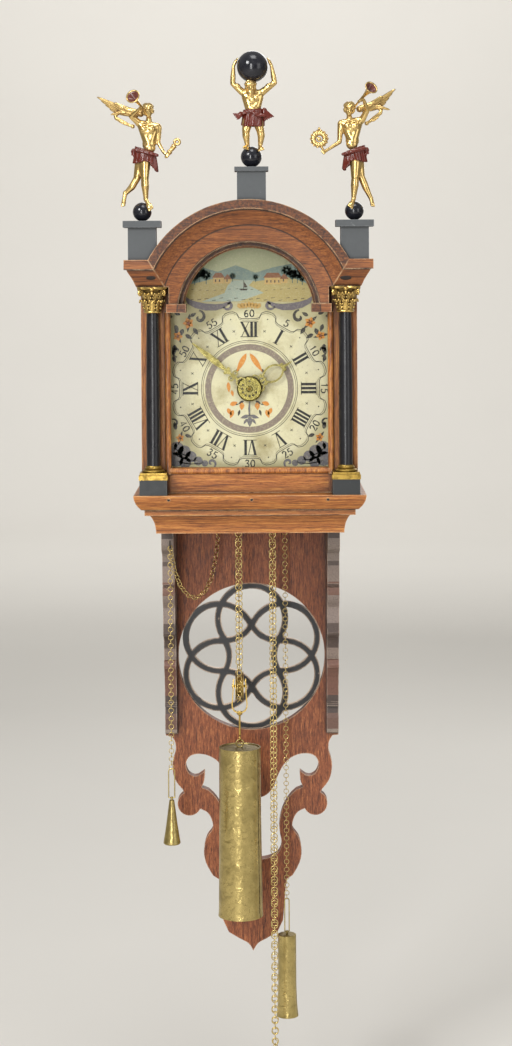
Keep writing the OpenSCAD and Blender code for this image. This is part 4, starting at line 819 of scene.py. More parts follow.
def paint_arch():
    """A plain river landscape in the arch, and the swag border under it, in mm from the arbor."""
    centre = (ARCH_Z - DIAL_Z) / MM
    reach = 83.0
    foot = 106.0

    def up(z):
        """Height of a place in the landscape, which is drawn on a lower and flatter field."""
        return foot + (z - 84) * 1.3

    def inside(points):
        """Keeps points within the arch."""
        kept = []
        for x, z in points:
            away = math.hypot(x, z - centre)
            pull = min(1.0, reach / away)
            kept.append((x * pull, centre + (z - centre) * pull))
        return kept

    def field(layer, name, colour, outlines, thin="#cfca9f", patch=0.3):
        """One flat stretch of land or water."""
        strokes = Strokes(layer)
        for outline in outlines:
            strokes.shape(inside([(x, up(z)) for x, z in outline]))
        strokes.done(name, brushed_paint(name.replace("_", " "), colour, thin, patch))

    arc = [(reach * math.sin(math.radians(a)),
            centre + reach * math.cos(math.radians(a))) for a in range(-78, 79, 6)]
    sky = Strokes(1)
    sky.shape(arc + [(81, foot), (-81, foot)])
    sky.done("arch_sky", brushed_paint("Pale green sky", "#b3b98f", "#cfcda4", 0.6))
    field(2, "arch_far_hills", "#7b9187", [[(-83, 106), (-60, 117), (-38, 112), (-16, 118), (8, 111),
                                            (30, 116),
                                            (52, 119), (83, 106), (83, 100), (-83, 100)]], "#a9b393", 0.7)
    field(3, "arch_meadow", "#b5a566", [[(-86, 103), (-40, 106), (10, 103), (50, 107), (86, 102), (86, 84),
                                         (-86, 84)]], "#cdc18c", 0.6)
    field(4, "arch_river", "#a3b09e", [[(-20, 104), (6, 104), (0, 99), (18, 92), (-12, 84), (-58, 84),
                                        (-30, 92),
                                        (-26, 99)]], "#c8cbae", 0.5)
    trees = Strokes(5)
    for x, z, size in ((-60, 112, 8.0), (-52, 109, 7), (-66, 107, 6.0), (46, 113, 7.5), (59, 110, 7.5),
                       (65, 106, 5.5), (53, 109, 6.5), (-20, 108, 4.5), (8, 107, 4)):
        for k in range(7):
            turn = k * 0.9
            trees.dot(x + size * 0.55 * math.cos(turn), up(z) + size * 0.5 * math.sin(turn), size * 0.42)
        trees.band([(x, up(z) - size * 1.6), (x, up(z))], 1.1)
    trees.done("arch_trees", brushed_paint("Blue green foliage", "#4f6a60", "#9aa47c", 0.8))
    walls = Strokes(6)
    roofs = Strokes(7)
    details = Strokes(8)
    for x, wide, z, tall in ((29, 20, 100, 8), (-37, 13, 101, 7), (-26, 7, 101, 5), (43, 8, 101, 5)):
        foot_z = up(z)
        walls.shape([(x - wide / 2, foot_z), (x - wide / 2, foot_z + tall), (x + wide / 2, foot_z + tall),
                     (x + wide / 2, foot_z)])
        roofs.shape([(x - wide / 2 - 1.6, foot_z + tall), (x - wide / 2 + 3, foot_z + tall + 6),
                     (x + wide / 2 - 3, foot_z + tall + 6), (x + wide / 2 + 1.6, foot_z + tall)])
        for k in range(max(1, int(wide / 5))):
            left = x - wide / 2 + 2.2 + 4.8 * k
            details.shape([(left, foot_z + 2), (left, foot_z + 5), (left + 1.5, foot_z + 5),
                           (left + 1.5, foot_z + 2)])
    walls.done("arch_barns", brushed_paint("Ochre wall", "#c9a862", "#ddd0a0"))
    roofs.done("arch_roofs", brushed_paint("Rust brown roof", "#8c5a34", "#b08d60"))
    for x in range(-72, 76, 9):
        z = up(86) + 1.5 * math.sin(x)
        details.band([(x, z), (x + 4.5, z + 0.6)], 0.7)
        details.band([(x + 2, up(95) + math.sin(2 * x)), (x + 5, up(95.4) + math.sin(2 * x))], 0.5)
    details.shape([(-12, up(96)), (-10, up(94.4)), (-3, up(94.4)), (-1, up(96))])
    details.band([(-6.5, up(95)), (-6.5, up(104))], 0.6)
    details.shape([(-6, up(103)), (-6, up(97)), (-1.5, up(97.4))])
    details.done("arch_details", brushed_paint("Dark umber line", "#3c3226"))
    swags = Strokes(9)
    for side in (-1, 1):
        points = [(side * x, z) for x, z in ((78, 112), (73, 106), (64, 102), (53, 99.5), (41, 99),
                                             (31, 101), (22, 106))]
        swags.band(points, [2, 6, 8, 8.5, 7.5, 5.5, 2.5])
        points, widths = scroll_stroke(side * 25, 102, 6.0, 0.9, 200 if side < 0 else 340, 2.4, hand=-side)
        swags.band(points, widths)
    swags.done("arch_swags", brushed_paint("Grey violet swag", "#6b6468", "#a39c86", 0.6))
    ochre = Strokes(10)
    for k in range(-3, 4):
        ochre.petal(k * 4.6, 106 - abs(k) * 0.8, 8, 5.2, 180 + k * 12)
    ochre.done("arch_shell", brushed_paint("Yellow ochre", "#c39a4a", "#dcc48a", 0.6))


def turn_links(node, foot, material):
    """A copy of an upright chain, turned link by link so that every other link faces the front.

    Links below the foot, a height in mm, lie round a wheel or a weight's hook and stay as they are.
    """
    turn = Matrix.Rotation(math.radians(45), 3, "Z")
    bm = bmesh.new()
    bm.from_mesh(frame["nodes"][node].data)
    seen = set()
    for start in bm.verts:
        if start in seen:
            continue
        seen.add(start)
        link, waiting = [], [start]
        while waiting:
            vert = waiting.pop()
            link.append(vert)
            for edge in vert.link_edges:
                other = edge.other_vert(vert)
                if other not in seen:
                    seen.add(other)
                    waiting.append(other)
        centre = sum((vert.co for vert in link), Vector()) / len(link)
        if centre.z > foot * MM:
            for vert in link:
                vert.co = centre + turn @ (vert.co - centre)
    bodies = frame["record"]["behaviour"]["bodies"]
    body = next(name for name, nodes in bodies.items() if node in nodes)
    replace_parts(make_piece("turned_" + node, bm, material, body), node)


def glazing_bead(material):
    """The rounded bead along the two sides and the foot of the dial opening."""
    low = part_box("hood_front")[0]
    face = low.y / MM
    side, foot, top = 98.2, low.z / MM + 26.6, -97.6
    profile = ((-3.6, 0.3), (-3.5, -0.7), (-2.6, -1.9), (-1.0, -2.6), (1.0, -2.6), (2.6, -1.9), (3.5, -0.7),
               (3.6, 0.3))
    bm = bmesh.new()
    for hand in (-1, 1):
        skin(bm, [[(hand * (side + across), face + out, z) for across, out in profile] for z in (foot - 3.6,
                                                                                                 top)])
    skin(bm, [[(x, face + out + 0.15, foot + across) for across, out in profile] for x in (-side, side)])
    piece_in_mm("glazing_bead", bm, material, "hood", 50)


def raised_oval(name, node, x, z, half_wide, half_high, material, body):
    """A peg end let into the front of a CAD node: an oval that follows its surface, a hair proud of it."""
    mesh = frame["nodes"][node].data
    tree = BVHTree.FromPolygons([v.co for v in mesh.vertices], [list(p.vertices) for p in mesh.polygons])
    bm = bmesh.new()
    rings = []
    for scale, proud in ((1.0, 0.0), (0.94, 0.35), (0.6, 0.5), (0.05, 0.45)):
        ring = []
        for k in range(24):
            way = k * math.tau / 24
            px = (x + scale * half_wide * math.cos(way)) * MM
            pz = (z + scale * half_high * math.sin(way)) * MM
            hit, normal, _, _ = tree.ray_cast(Vector((px, -0.4, pz)), Vector((0, 1, 0)))
            if hit is None:
                raise RuntimeError("No surface behind " + name)
            ring.append(hit + normal * ((proud - 0.1) * MM if normal.y < 0 else -(proud - 0.1) * MM))
        rings.append(ring)
    skin(bm, rings)
    bmesh.ops.recalc_face_normals(bm, faces=bm.faces)
    make_piece(name, bm, material, body)


class TAILCLOCK_OT_woodwork(bpy.types.Operator):
    """Give the case, the hood and the tail their woods and paints"""

    bl_idname = "tailclock.woodwork"
    bl_label = "Woodwork"

    def execute(self, context):
        wood = context.scene.tailclock_wood
        # Size of the figure in mm along X, Y and Z. The pores of real oak are finer, too fine to show here
        upright = (0.9, 0.9, 26.0)
        level = (26.0, 1.2, 0.8)
        hood = (wood.oak_dark, wood.oak_mid, wood.oak_light)
        base = (wood.base_dark, wood.base_mid, wood.base_light)
        board = (wood.board_dark, wood.board_mid, wood.board_light)
        clothe(varnished_oak("Oak, rail and stiles", base, level, stiles=94.8 * MM), "hood_front")
        clothe(varnished_oak("Oak, side boards", hood, upright), "hood_sides")
        clothe(varnished_oak("Oak, roof boards", hood, (1.6, 30.0, 1.6)), "hood_roof")
        clothe(varnished_oak("Oak, sawn to the arch", hood, level, rim=(85 * MM, 124.6 * MM),
                             quirks=(85.6, 105.4, 123.4)), "arch_moulding")
        clothe(varnished_oak("Oak, ledges", hood, level, quirks=(-46.4,)), "ledge_mouldings")
        clothe(varnished_oak("Oak, base moulding", base, level, quirks=(-334.4, -341.6)), "base_moulding",
               "seat_board")
        clothe(varnished_oak("Stained board", board, (0.9, 0.9, 9.0), worn="#e0bd9c"), "backboard",
               "tail_board")
        # The steps of the brackets, top to foot, in lighter and darker tones: painted light and shade on
        # facets tilted towards or away from the light above.
        low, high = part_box("brackets")
        steps = [(0.0, "#8f8378"), (0.03, "#3b3230"), (0.09, "#85786f"), (0.2, "#4a3d37"), (0.22, "#8a7a70"),
                 (0.29, "#714a3a"), (0.35, "#897a72"), (0.48, "#453731"), (0.6, "#847368"), (0.65, "#744a3b"),
                 (0.82, "#3a2d29"), (0.9, "#6a4a3e"), (0.97, "#94867a")]
        clothe(worn_paint("Grey-brown bracket paint", "#5c4e46", "#b9a795", 0.5, 0.9, 1.8,
                          shade_bands=(high.z, low.z, steps)), "brackets")
        clothe(worn_paint("Black tracery paint", "#0f0f12", "#d8c0a8", 0.38, 1.0, 3.2, 30.0, bare_sides=True),
               "rosette_tracery")
        clothe(worn_paint("Slate paint", wood.slate, "#8a8e90", 0.55, 0.5), "pedestals")
        clothe(worn_paint("Ebonised columns", "#0b0b10", "#54402c", 0.27, 0.6, 1.2, 4.0, (1, 1, 0.4)),
               "columns")
        clothe(worn_paint("Green-black plinth paint", "#14181a", "#5a5f58", 0.42, 0.8), "plinths")
        pegs = worn_paint("Dark peg ends", "#140c08", "#3a2417", 0.6, 0.3)
        clothe(pegs, "moulding_pegs")
        glazing_bead(varnished_oak("Oak bead, polished", base, (2.0, 1.2, 20.0), gloss=0.3))
        raised_oval("peg_left", "ledge_mouldings", -116.0, -56.2, 5.8, 2.4, pegs, "hood")
        raised_oval("peg_right", "ledge_mouldings", 115.5, -57.2, 7.0, 2.6, pegs, "hood")
        return {"FINISHED"}


class TAILCLOCK_OT_metalwork(bpy.types.Operator):
    """Give the movement, hands, chains and weights their metals and the windows their glass"""

    bl_idname = "tailclock.metalwork"
    bl_label = "Metalwork and glass"

    def execute(self, context):
        metal = context.scene.tailclock_metal
        clothe(old_metal("Movement brass", metal.brass, metal.tarnish, 0.3), "movement_plates",
               "movement_pillars",
               "train_bars", "going_great_wheel", "centre_wheel", "escape_wheel", "minute_wheel",
               "hour_wheel",
               "pendulum", "strike_great_wheel", "pin_wheel", "fly", "alarm_wheel")
        clothe(old_metal("Pierced hand brass", "#9a9058", "#454020", 0.26, 6.0, 0.6, hollow_mm=1.5),
               "minute_hand",
               "hour_hand")
        clothe(old_metal("Engraved alarm disc", "#a59a58", "#3c3617", 0.26, 3.0, stain_most=0.7,
                         hollow_mm=2.0),
               "alarm_disc")
        clothe(old_metal("Bell metal", "#c8b070", "#6a5a34", 0.25), "bell")
        clothe(old_metal("Forged iron", metal.iron, "#241d18", 0.5), "hanging_plate", "chain_hook",
               "bell_stand",
               "anchor", "strike_hammer")
        clothe(old_metal("Cast iron ring", "#5a5854", "#2a2420", 0.55), "ring_weight")
        wire = old_metal("Brass chain wire", "#d6bf7e", "#6b5426", 0.26, 20.0, 0.55, stain_most=0.35,
                         hollow_mm=1.0)
        clothe(wire, "sprocket_chains", "alarm_loop_chain", "weight_chains", "tail_chains", "alarm_chain",
               "counter_chain")
        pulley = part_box("pulley_wheel")[1].z / MM
        for node, foot in (("weight_chains", pulley + 4), ("tail_chains", -1016), ("alarm_chain", -2000),
                           ("counter_chain", -2000)):
            turn_links(node, foot, wire)
        for name, degrees in (("main_weight", 60), ("alarm_weight", 70), ("counterweight", 200)):
            low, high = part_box(name)
            axis = ((low.x + high.x) / 2, (low.y + high.y) / 2, degrees)
            clothe(old_metal("Sheet brass, " + name.replace("_", " "), "#c2ae72", "#57481f", 0.27, 30.0,
                             0.8, 11.0, 1.6,
                             0.45, seam=axis), name)
        clothe(old_metal("Pulley brass", metal.brass, metal.tarnish, 0.3, 8.0), "pulley_block",
               "pulley_wheel")
        clothe(old_metal("Column base brass", "#b0924a", "#4a3c1a", 0.36, 7.0), "column_bases")
        clothe(gold_leaf("Gilded capital", metal.gold, metal.bole, 0.4), "capitals")
        clothe(black_lacquer("Black ball lacquer", "#0c0d14"), "finial_balls", "globe")
        clothe(window_glass("Old window glass"), "front_glass", "side_glass")
        for name in ("bell", "movement_pillars", "columns", "column_bases", "finial_balls", "globe",
                     "main_weight",
                     "alarm_weight", "counterweight", "ring_weight", "pulley_wheel", "alarm_loop_chain",
                     "sprocket_chains", "pendulum", "arch_moulding", "hood_roof", "ledge_mouldings",
                     "base_moulding"):
            soften(name)
        return {"FINISHED"}


# Carved figures, in mm from the centre of the ball that each stands on


def across(way):
    """Two directions at right angles to one."""
    side = way.cross(Vector((0, 1, 0)))
    if side.length < 0.1:
        side = way.cross(Vector((1, 0, 0)))
    side.normalize()
    return side, way.cross(side).normalized()


def skin(bm, rings, closed_ends=True):
    """Joins rings of equal count into a tube."""
    rows = [[bm.verts.new(point) for point in ring] for ring in rings]
    count = len(rows[0])
    for low, high in zip(rows, rows[1:]):
        for k in range(count):
            bm.faces.new((low[k], low[(k + 1) % count], high[(k + 1) % count], high[k]))
    if closed_ends:
        bm.faces.new(rows[0][::-1])
        bm.faces.new(rows[-1])


def around(centre, u, v, radius, count):
    """Points of a circle in the plane of two directions."""
    turns = [k * math.tau / count for k in range(count)]
    return [centre + (u * math.cos(turn) + v * math.sin(turn)) * radius for turn in turns]


def capsule(bm, a, ra, b, rb, sides=14):
    """A limb: two balls and the cone between them."""
    a, b = Vector(a), Vector(b)
    way = (b - a).normalized()
    u, v = across(way)
    stations = [(a, ra, -1, t) for t in (0.98, 0.8, 0.45)] + [(a, ra, 0, 0), (b, rb, 0, 0)]
    stations += [(b, rb, 1, t) for t in (0.45, 0.8, 0.98)]
    skin(bm, [around(centre + way * (end * t * radius), u, v, radius * math.sqrt(1 - t * t), sides)
              for centre, radius, end, t in stations])


def lump(bm, centre, radii, tilt=0.0):
    """An egg-shaped mass with its own three radii, leaning by tilt degrees in the front view."""
    turn = Matrix.Rotation(math.radians(tilt), 3, "Y")
    rings = []
    for i in range(9):
        polar = math.pi * (i + 0.3) / 8.6
        rings.append([Vector(centre) + turn @ Vector((
            radii[0] * math.sin(polar) * math.cos(k * math.tau / 14),
            radii[1] * math.sin(polar) * math.sin(k * math.tau / 14), -radii[2] * math.cos(polar)))
            for k in range(14)])
    skin(bm, rings)


def lathe(bm, a, b, profile, sides=32):
    """A turned form on the axis from a to b; profile holds (place along, radius) in mm."""
    a = Vector(a)
    way = (Vector(b) - a).normalized()
    u, v = across(way)
    skin(bm, [around(a + way * along, u, v, radius, sides) for along, radius in profile])


FEATHER = ((-1, 0), (-0.6, 0.6), (-0.14, 0.55), (0, 1.0), (0.14, 0.55), (0.6, 0.6), (1, 0), (0.5, -0.6),
           (0, -0.7),
           (-0.5, -0.6))


def feather(bm, root, tip, width, thick, bend=0.0, parts=11):
    """A carved feather or fold: a ribbed blade that narrows to its root and rounds off at its tip."""
    root, tip = Vector(root), Vector(tip)
    way = tip - root
    side = way.cross(Vector((0, 1, 0))).normalized()
    front = Vector((0, -1, 0))
    rings = []
    for i in range(parts):
        t = i / (parts - 1)
        swell = (math.sin(math.pi * (0.16 + 0.82 * t)) ** 0.55) * (0.75 + 0.25 * t)
        middle = root + way * t + side * (bend * math.sin(math.pi * t))
        wide = width / 2 * swell
        deep = thick / 2 * (0.35 + 0.65 * swell)
        rings.append([middle + side * (x * wide) + front * (y * deep) for x, y in FEATHER])
    skin(bm, rings)


def wrap_cloth(bm, centre, radii, top, hem, folds, tilt=0.0, tail=0.0, tail_at=0.0, parts=72, rows=10):
    """A loincloth: a folded tube round the hips, with a dipping waist line and a longer end on one side."""
    rings = []
    for i in range(rows):
        t = i / (rows - 1)
        ring = []
        for k in range(parts):
            turn = k * math.tau / parts
            drop = tail * max(0.0, math.cos(turn - math.radians(tail_at))) ** 3
            z = (top + tilt * math.cos(turn)) * (1 - t) + (hem - drop + 1.2 * math.sin(3 * turn)) * t
            deep = 0.03 + 0.07 * t
            ripple = deep * math.sin(folds * turn + 2.2 * t)
            fold = 1 + ripple + 0.5 * deep * math.sin(2.3 * folds * turn + 4 * t)
            flare = 0.94 + 0.16 * t
            ring.append((centre[0] + radii[0] * fold * flare * math.cos(turn),
                         centre[1] + radii[1] * fold * flare * math.sin(turn), z))
        rings.append(ring)
    skin(bm, rings, closed_ends=False)


def add_head(bm, centre, facing, lean, size=1.0, beard=False):
    """A plain carved head: skull, jaw, nose, brow, cheeks, lips, ears and rows of curls."""
    turn = Matrix.Rotation(math.radians(facing), 3, "Z") @ Matrix.Rotation(math.radians(lean), 3, "Y")
    turn = turn @ Matrix.Rotation(math.radians(8), 3, "X")
    centre = Vector(centre)

    def mass(x, y, z, rx, ry, rz):
        """A lump at a place of the head, before it is turned and leaned."""
        where = centre + turn @ (Vector((x, y, z)) * size)
        lump(bm, where, (rx * size, ry * size, rz * size), lean)

    mass(0, 1.0, 1.2, 5.6, 6.4, 6.4)
    mass(0, -1.6, -3.6, 4.1, 4.4, 4.4)
    mass(0, -4.6, -6.2, 1.7, 1.6, 1.6)
    mass(0, -6.2, -1.2, 0.9, 1.4, 2.3)
    mass(0, -6.9, -2.4, 1.15, 1.1, 0.9)
    for s in (-1, 1):
        mass(s * 1.9, -5.1, 1.2, 1.7, 1.0, 0.75)
        mass(s * 2.4, -4.5, -2.4, 1.5, 1.4, 1.6)
        mass(s * 1.9, -5.1, -0.5, 0.85, 0.7, 0.6)
        mass(s * 5.5, 0.4, -1.2, 0.9, 1.6, 2.0)
    mass(0, -5.6, -4.1, 1.6, 0.8, 0.45)
    mass(0, -5.4, -5.0, 1.3, 0.8, 0.5)
    for row, (z, reach, count) in enumerate(((2.9, 6.2, 11), (5.0, 5.2, 9), (6.9, 3.4, 7), (7.9, 1.2, 3))):
        for k in range(count):
            way = (k + 0.5 * (row % 2)) * math.tau / count
            mass(reach * math.sin(way), 1.0 - reach * 1.06 * math.cos(way), z + 0.5 * math.sin(5 * way),
                 2.1, 2.1, 1.9)
    for k in range(9):
        way = math.radians(70 + k * 27.5)
        mass(6.0 * math.sin(way), 1.0 - 6.2 * math.cos(way), -0.6 - 0.8 * (k % 2), 1.6, 1.6, 1.9)
        mass(5.2 * math.sin(way), 1.6 - 5.6 * math.cos(way), -3.4, 1.4, 1.4, 1.7)
    if beard:
        for k in range(7):
            way = math.radians(-78 + k * 26)
            mass(4.0 * math.sin(way), -1.4 - 4.0 * math.cos(way), -6.0 - 1.2 * (k % 2), 1.5, 1.5, 2.4)
        for x, z in ((-1.6, -8.8), (1.6, -8.8), (0, -10.6)):
            mass(x, -4.8, z, 1.6, 1.5, 2.6)


def add_hand(bm, wrist, palm, grip):
    """A fist: palm, four bent fingers and a thumb. grip is the direction of what it holds."""
    wrist, palm = Vector(wrist), Vector(palm)
    way = (palm - wrist).normalized()
    hold = Vector(grip).normalized()
    out = way.cross(hold).normalized()
    capsule(bm, wrist, 1.9, palm, 2.3)
    for k in range(4):
        knuckle = palm + way * 1.6 + hold * (1.5 * k - 2.2)
        capsule(bm, knuckle, 1.0, knuckle + out * 2.2 + way * 1.0, 0.9, 8)
        capsule(bm, knuckle + out * 2.2 + way * 1.0, 0.9, knuckle + out * 2.6 - way * 1.4, 0.8, 8)
    capsule(bm, palm + hold * 2.2, 1.1, palm + out * 2.6 + hold * 1.4, 0.9, 8)


def add_foot(bm, ankle, toe, wide):
    """A bare foot with its five toes spread to the sides of the line from the ankle to the toe."""
    ankle, toe = Vector(ankle), Vector(toe)
    way = (toe - ankle).normalized()
    side = way.cross(Vector((0, 1, 0)))
    side = side.normalized() if side.length > 0.3 else Vector((1, 0, 0))
    capsule(bm, ankle - way * 1.6, 2.9, ankle.lerp(toe, 0.65), 2.3)
    for k in range(5):
        off = (k - 2) * wide / 5
        capsule(bm, ankle.lerp(toe, 0.5) + side * off * 0.7, 1.6, toe + side * off - way * (0.35 * k), 1.05,
                8)


def finish_carving(name, bm, origin, mirror, material, body="hood"):
    """Scales a carving from mm, sets it on its ball and makes it into a piece."""
    for vert in bm.verts:
        x, y, z = vert.co
        vert.co = Vector(((-x if mirror else x) * MM, y * MM, z * MM)) + origin
    if mirror:
        bmesh.ops.reverse_faces(bm, faces=bm.faces)
    bmesh.ops.recalc_face_normals(bm, faces=bm.faces)
    return make_piece(name, bm, material, body)


def fuse(obj, voxel, rounds):
    """Fuses overlapping masses into one surface and smooths their joins."""
    remesh = obj.modifiers.new("Fuse", "REMESH")
    remesh.mode = "VOXEL"
    remesh.voxel_size = voxel * MM
    remesh.use_smooth_shade = True
    smooth = obj.modifiers.new("Smooth", "SMOOTH")
    smooth.factor = 0.5
    smooth.iterations = rounds


def thicken(obj):
    """Gives a carved cloth its thickness and rounds its folds."""
    thick = obj.modifiers.new("Thick", "SOLIDIFY")
    thick.thickness = 1.3 * MM
    soft = obj.modifiers.new("Soft", "SUBSURF")
    soft.levels = 1
    soft.render_levels = 1


def hoop(bm, centre, right, up, radius, wire, parts):
    """A ring of round wire in the plane of two directions."""
    places = around(centre, right, up, radius, parts)
    for a, b in zip(places, places[1:] + places[:1]):
        capsule(bm, a, wire, b, wire, 8)


# What differs between the two heralds: shoulders, arms, legs, wing and trumpet
HERALDS = {
    "left": {
        "ball_x": -1, "head": (7.6, -3.0, 120.2), "facing": -14, "lean": -14,
        "neck": ((8.6, -1, 112), (8.6, 0, 106)), "shoulders": ((-3.4, 0, 105.6), (19.0, 0, 101.4)),
        "chest": (7.2, -1.5, 96.5), "waist": (8.6, -0.5, 81), "belly": (9.4, -2.2, 76), "tilt": 8,
        "arm_up": ((-3.8, -1, 106.4), (-12.0, -5, 113.4), (-2.4, -15, 121.0)),
        "arm_out": ((20.2, 0, 100.4), (19.4, 1, 83.0), (26.0, -4, 70.6), (30.2, -5, 67.2)),
        "thigh": ((3.4, -1, 64), (3.4, -3, 41)), "calf": (3.7, -2.4, 30.5), "ankle": (4.5, -1.2, 14.4),
        "toe": (11.2, -11.6, 2.0),
        "back": ((-1.8, 2.6, 62), (-6.2, 3.4, 40.5), (-12.4, 4.0, 30.0), (-20.8, 5.0, 21.6),
                 (-23.2, 2.6, 6.6)),
        "wing": (-9.5, 8, 119.5), "wing_tip": (-53.6, 9, 137.8), "lobe": (-32.0, 9, 116.2),
             "lobe_end": (-11.2, 7, 102.4),
        "mouth": (5.4, -9.0, 118.6), "bell": (-7.9, -43.0, 133.9), "bell_r": 8.6,
        "hips": (3.6, 0.4), "hip_r": (13.2, 9.6), "tail_at": 10,
    },
    "right": {
        "ball_x": 1, "head": (5.2, -3.0, 120.6), "facing": -4, "lean": -10,
        "neck": ((5.4, -1, 112.6), (4.6, 0, 107)), "shoulders": ((-9.4, 0, 107.6), (14.6, 0, 104.4)),
        "chest": (2.6, -1.5, 99), "waist": (1.8, -0.5, 84), "belly": (2.4, -2.2, 79), "tilt": -4,
        "arm_up": ((-10.2, -1, 108.6), (-15.6, -6, 118.6), (-11.6, -19, 129.6)),
        "arm_out": ((15.6, 0, 103.6), (17.0, 1, 82.0), (29.6, -4, 73.6), (35.6, -5, 70.0)),
        "thigh": ((-2.2, -1, 64), (-1.2, -3, 40)), "calf": (-0.6, -2.4, 29.4), "ankle": (0.8, -1.2, 13.4),
        "toe": (5.4, -12.0, 3.6),
        "back": ((-5.4, 2.6, 62), (-8.6, 3.4, 41.4), (-14.0, 4.0, 28.0), (-20.6, 5.0, 14.0),
                 (-22.6, 2.4, 4.6)),
        "wing": (-15.5, 8, 123.5), "wing_tip": (-50.4, 9, 145.4), "lobe": (-33.4, 9, 120.6),
              "lobe_end": (-15.8, 7, 104.4),
        "mouth": (1.0, -10.0, 121.4), "bell": (-18.8, -43.0, 142.6), "bell_r": 8.2,
        "hips": (-1.6, 0.4), "hip_r": (13.0, 9.6), "tail_at": 20,
    },
}


def build_herald(key, leaf, cloth, inside):
    """A winged herald on a ball, blowing a trumpet."""
    part = HERALDS[key]
    mirror = part["ball_x"] > 0
    low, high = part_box("finial_balls")
    ball_r = 11.4
    origin = Vector(((low.x if part["ball_x"] < 0 else high.x) - part["ball_x"] * ball_r * MM,
                     (low.y + high.y) / 2, low.z + (ball_r - 0.3) * MM))
    bm = bmesh.new()
    add_head(bm, part["head"], part["facing"], part["lean"])
    capsule(bm, part["neck"][0], 3.4, part["neck"][1], 3.9)
    left, right = (Vector(place) for place in part["shoulders"])
    chest, waist, belly = (Vector(part[place]) for place in ("chest", "waist", "belly"))
    capsule(bm, left, 4.6, right, 4.4)
    capsule(bm, left.lerp(chest, 0.35), 5.6, waist, 6.8)
    capsule(bm, right.lerp(chest, 0.35), 5.6, waist, 6.6)
    lump(bm, chest, (9.6, 6.6, 8.6), part["tilt"])
    lump(bm, waist, (8.4, 6.2, 9.0), part["tilt"])
    for s in (-1, 1):
        lump(bm, chest + Vector((s * 4.5, -4.2, 2.0)), (4.6, 3.4, 4.2), s * 10)
    lump(bm, belly, (7.2, 5.4, 6.6))
    lump(bm, (part["hips"][0], 0, 66), (10.4, 7.4, 8.0))
    hip, knee = part["thigh"]
    capsule(bm, hip, 7.6, knee, 5.0)
    capsule(bm, knee, 4.7, part["calf"], 4.9)
    lump(bm, Vector(knee) + Vector((0, -3.0, 0)), (3.0, 2.2, 3.0))
    capsule(bm, part["calf"], 4.7, part["ankle"], 2.7)
    add_foot(bm, part["ankle"], part["toe"], 7.4)
    back = part["back"]
    capsule(bm, back[0], 6.8, back[1], 4.6)
    capsule(bm, back[1], 4.4, back[2], 4.3)
    capsule(bm, back[2], 4.2, back[3], 2.6)
    add_foot(bm, back[3], back[4], 4.4)
    up = part["arm_up"]
    capsule(bm, up[0], 4.2, up[1], 3.4)
    capsule(bm, up[1], 3.3, up[2], 2.0)
    grip = Vector(part["bell"]) - Vector(part["mouth"])
    add_hand(bm, up[2], Vector(up[2]) + Vector((2.0, -2.4, 1.6)), grip)
    out = part["arm_out"]
    capsule(bm, out[0], 4.0, out[1], 2.9)
    capsule(bm, out[1], 2.8, out[2], 2.0)
    add_hand(bm, out[2], out[3], (0.6, 0, 0.8))
    carving = finish_carving("herald_" + key + "_body", bm, origin, mirror, leaf)
    fuse(carving, 0.7, 7)

    bm = bmesh.new()
    root, tip = Vector(part["wing"]), Vector(part["wing_tip"])
    span = tip - root
    down = Vector((-0.35, 0, -1)).normalized()
    for rows, reach, shrink, step, wide, front in ((4, 1.0, 0.13, 2.5, 6.0, 0.0),
                                                   (3, 0.56, 0.08, 2.9, 5.6, 1.3),
                                                   (2, 0.3, 0.04, 3.4, 5.4, 2.5)):
        for k in range(rows):
            start = root + Vector((1.2 * front, -front + 0.7 * k, 0)) + down * (0.55 * step * k)
            end = root + span * (reach - shrink * k) + down * (step * k) + Vector((0, -front + 0.7 * k, 0))
            feather(bm, start, end, wide, 2.6, 1.0)
    capsule(bm, root + Vector((8, -2, -2)), 4.2, root + span * 0.16, 3.4)
    capsule(bm, root + span * 0.16, 3.4, root + span * 0.5 + Vector((0, -0.4, 1.2)), 1.8)
    # The lower feathers curl round an opening and end in a small ball
    lobe, end = Vector(part["lobe"]), Vector(part["lobe_end"])
    start = root + Vector((2, 0, -4.0))
    fall = lobe - end
    way = [start, root + Vector((-9, 0.5, 0.6)), lobe + Vector((4.5, 0, 3.0)), lobe,
           lobe + Vector((1.0, -0.4, -4.0)),
           end + fall * 0.62 + Vector((1.6, -0.6, -3.4)), end + fall * 0.3 + Vector((1.0, -0.4, -2.2)), end]
    for (a, b), (ra, rb) in zip(zip(way, way[1:]),
                                ((3.4, 2.8), (2.8, 2.4), (2.4, 2.2), (2.2, 2.2), (2.2, 2.3),
                                                    (2.3, 1.9), (1.9, 1.5))):
        capsule(bm, a, ra, b, rb)
    for k in range(3):
        feather(bm, way[1] + Vector((3 - 5 * k, -1.6, -0.6)),
                way[1] + Vector((-9 - 5 * k, -1.6, 1.6 - 2.6 * k)), 3.6, 2.2)
        feather(bm, way[6].lerp(way[5], 0.4 * k) + Vector((0, -1.4, 0)),
                way[6].lerp(way[5], 0.4 * k) + Vector((-6.4, -1.4, 1.0)), 3.0, 1.8)
    lump(bm, end, (2.6, 2.4, 2.6))
    finish_carving("herald_" + key + "_wing", bm, origin, mirror, leaf)

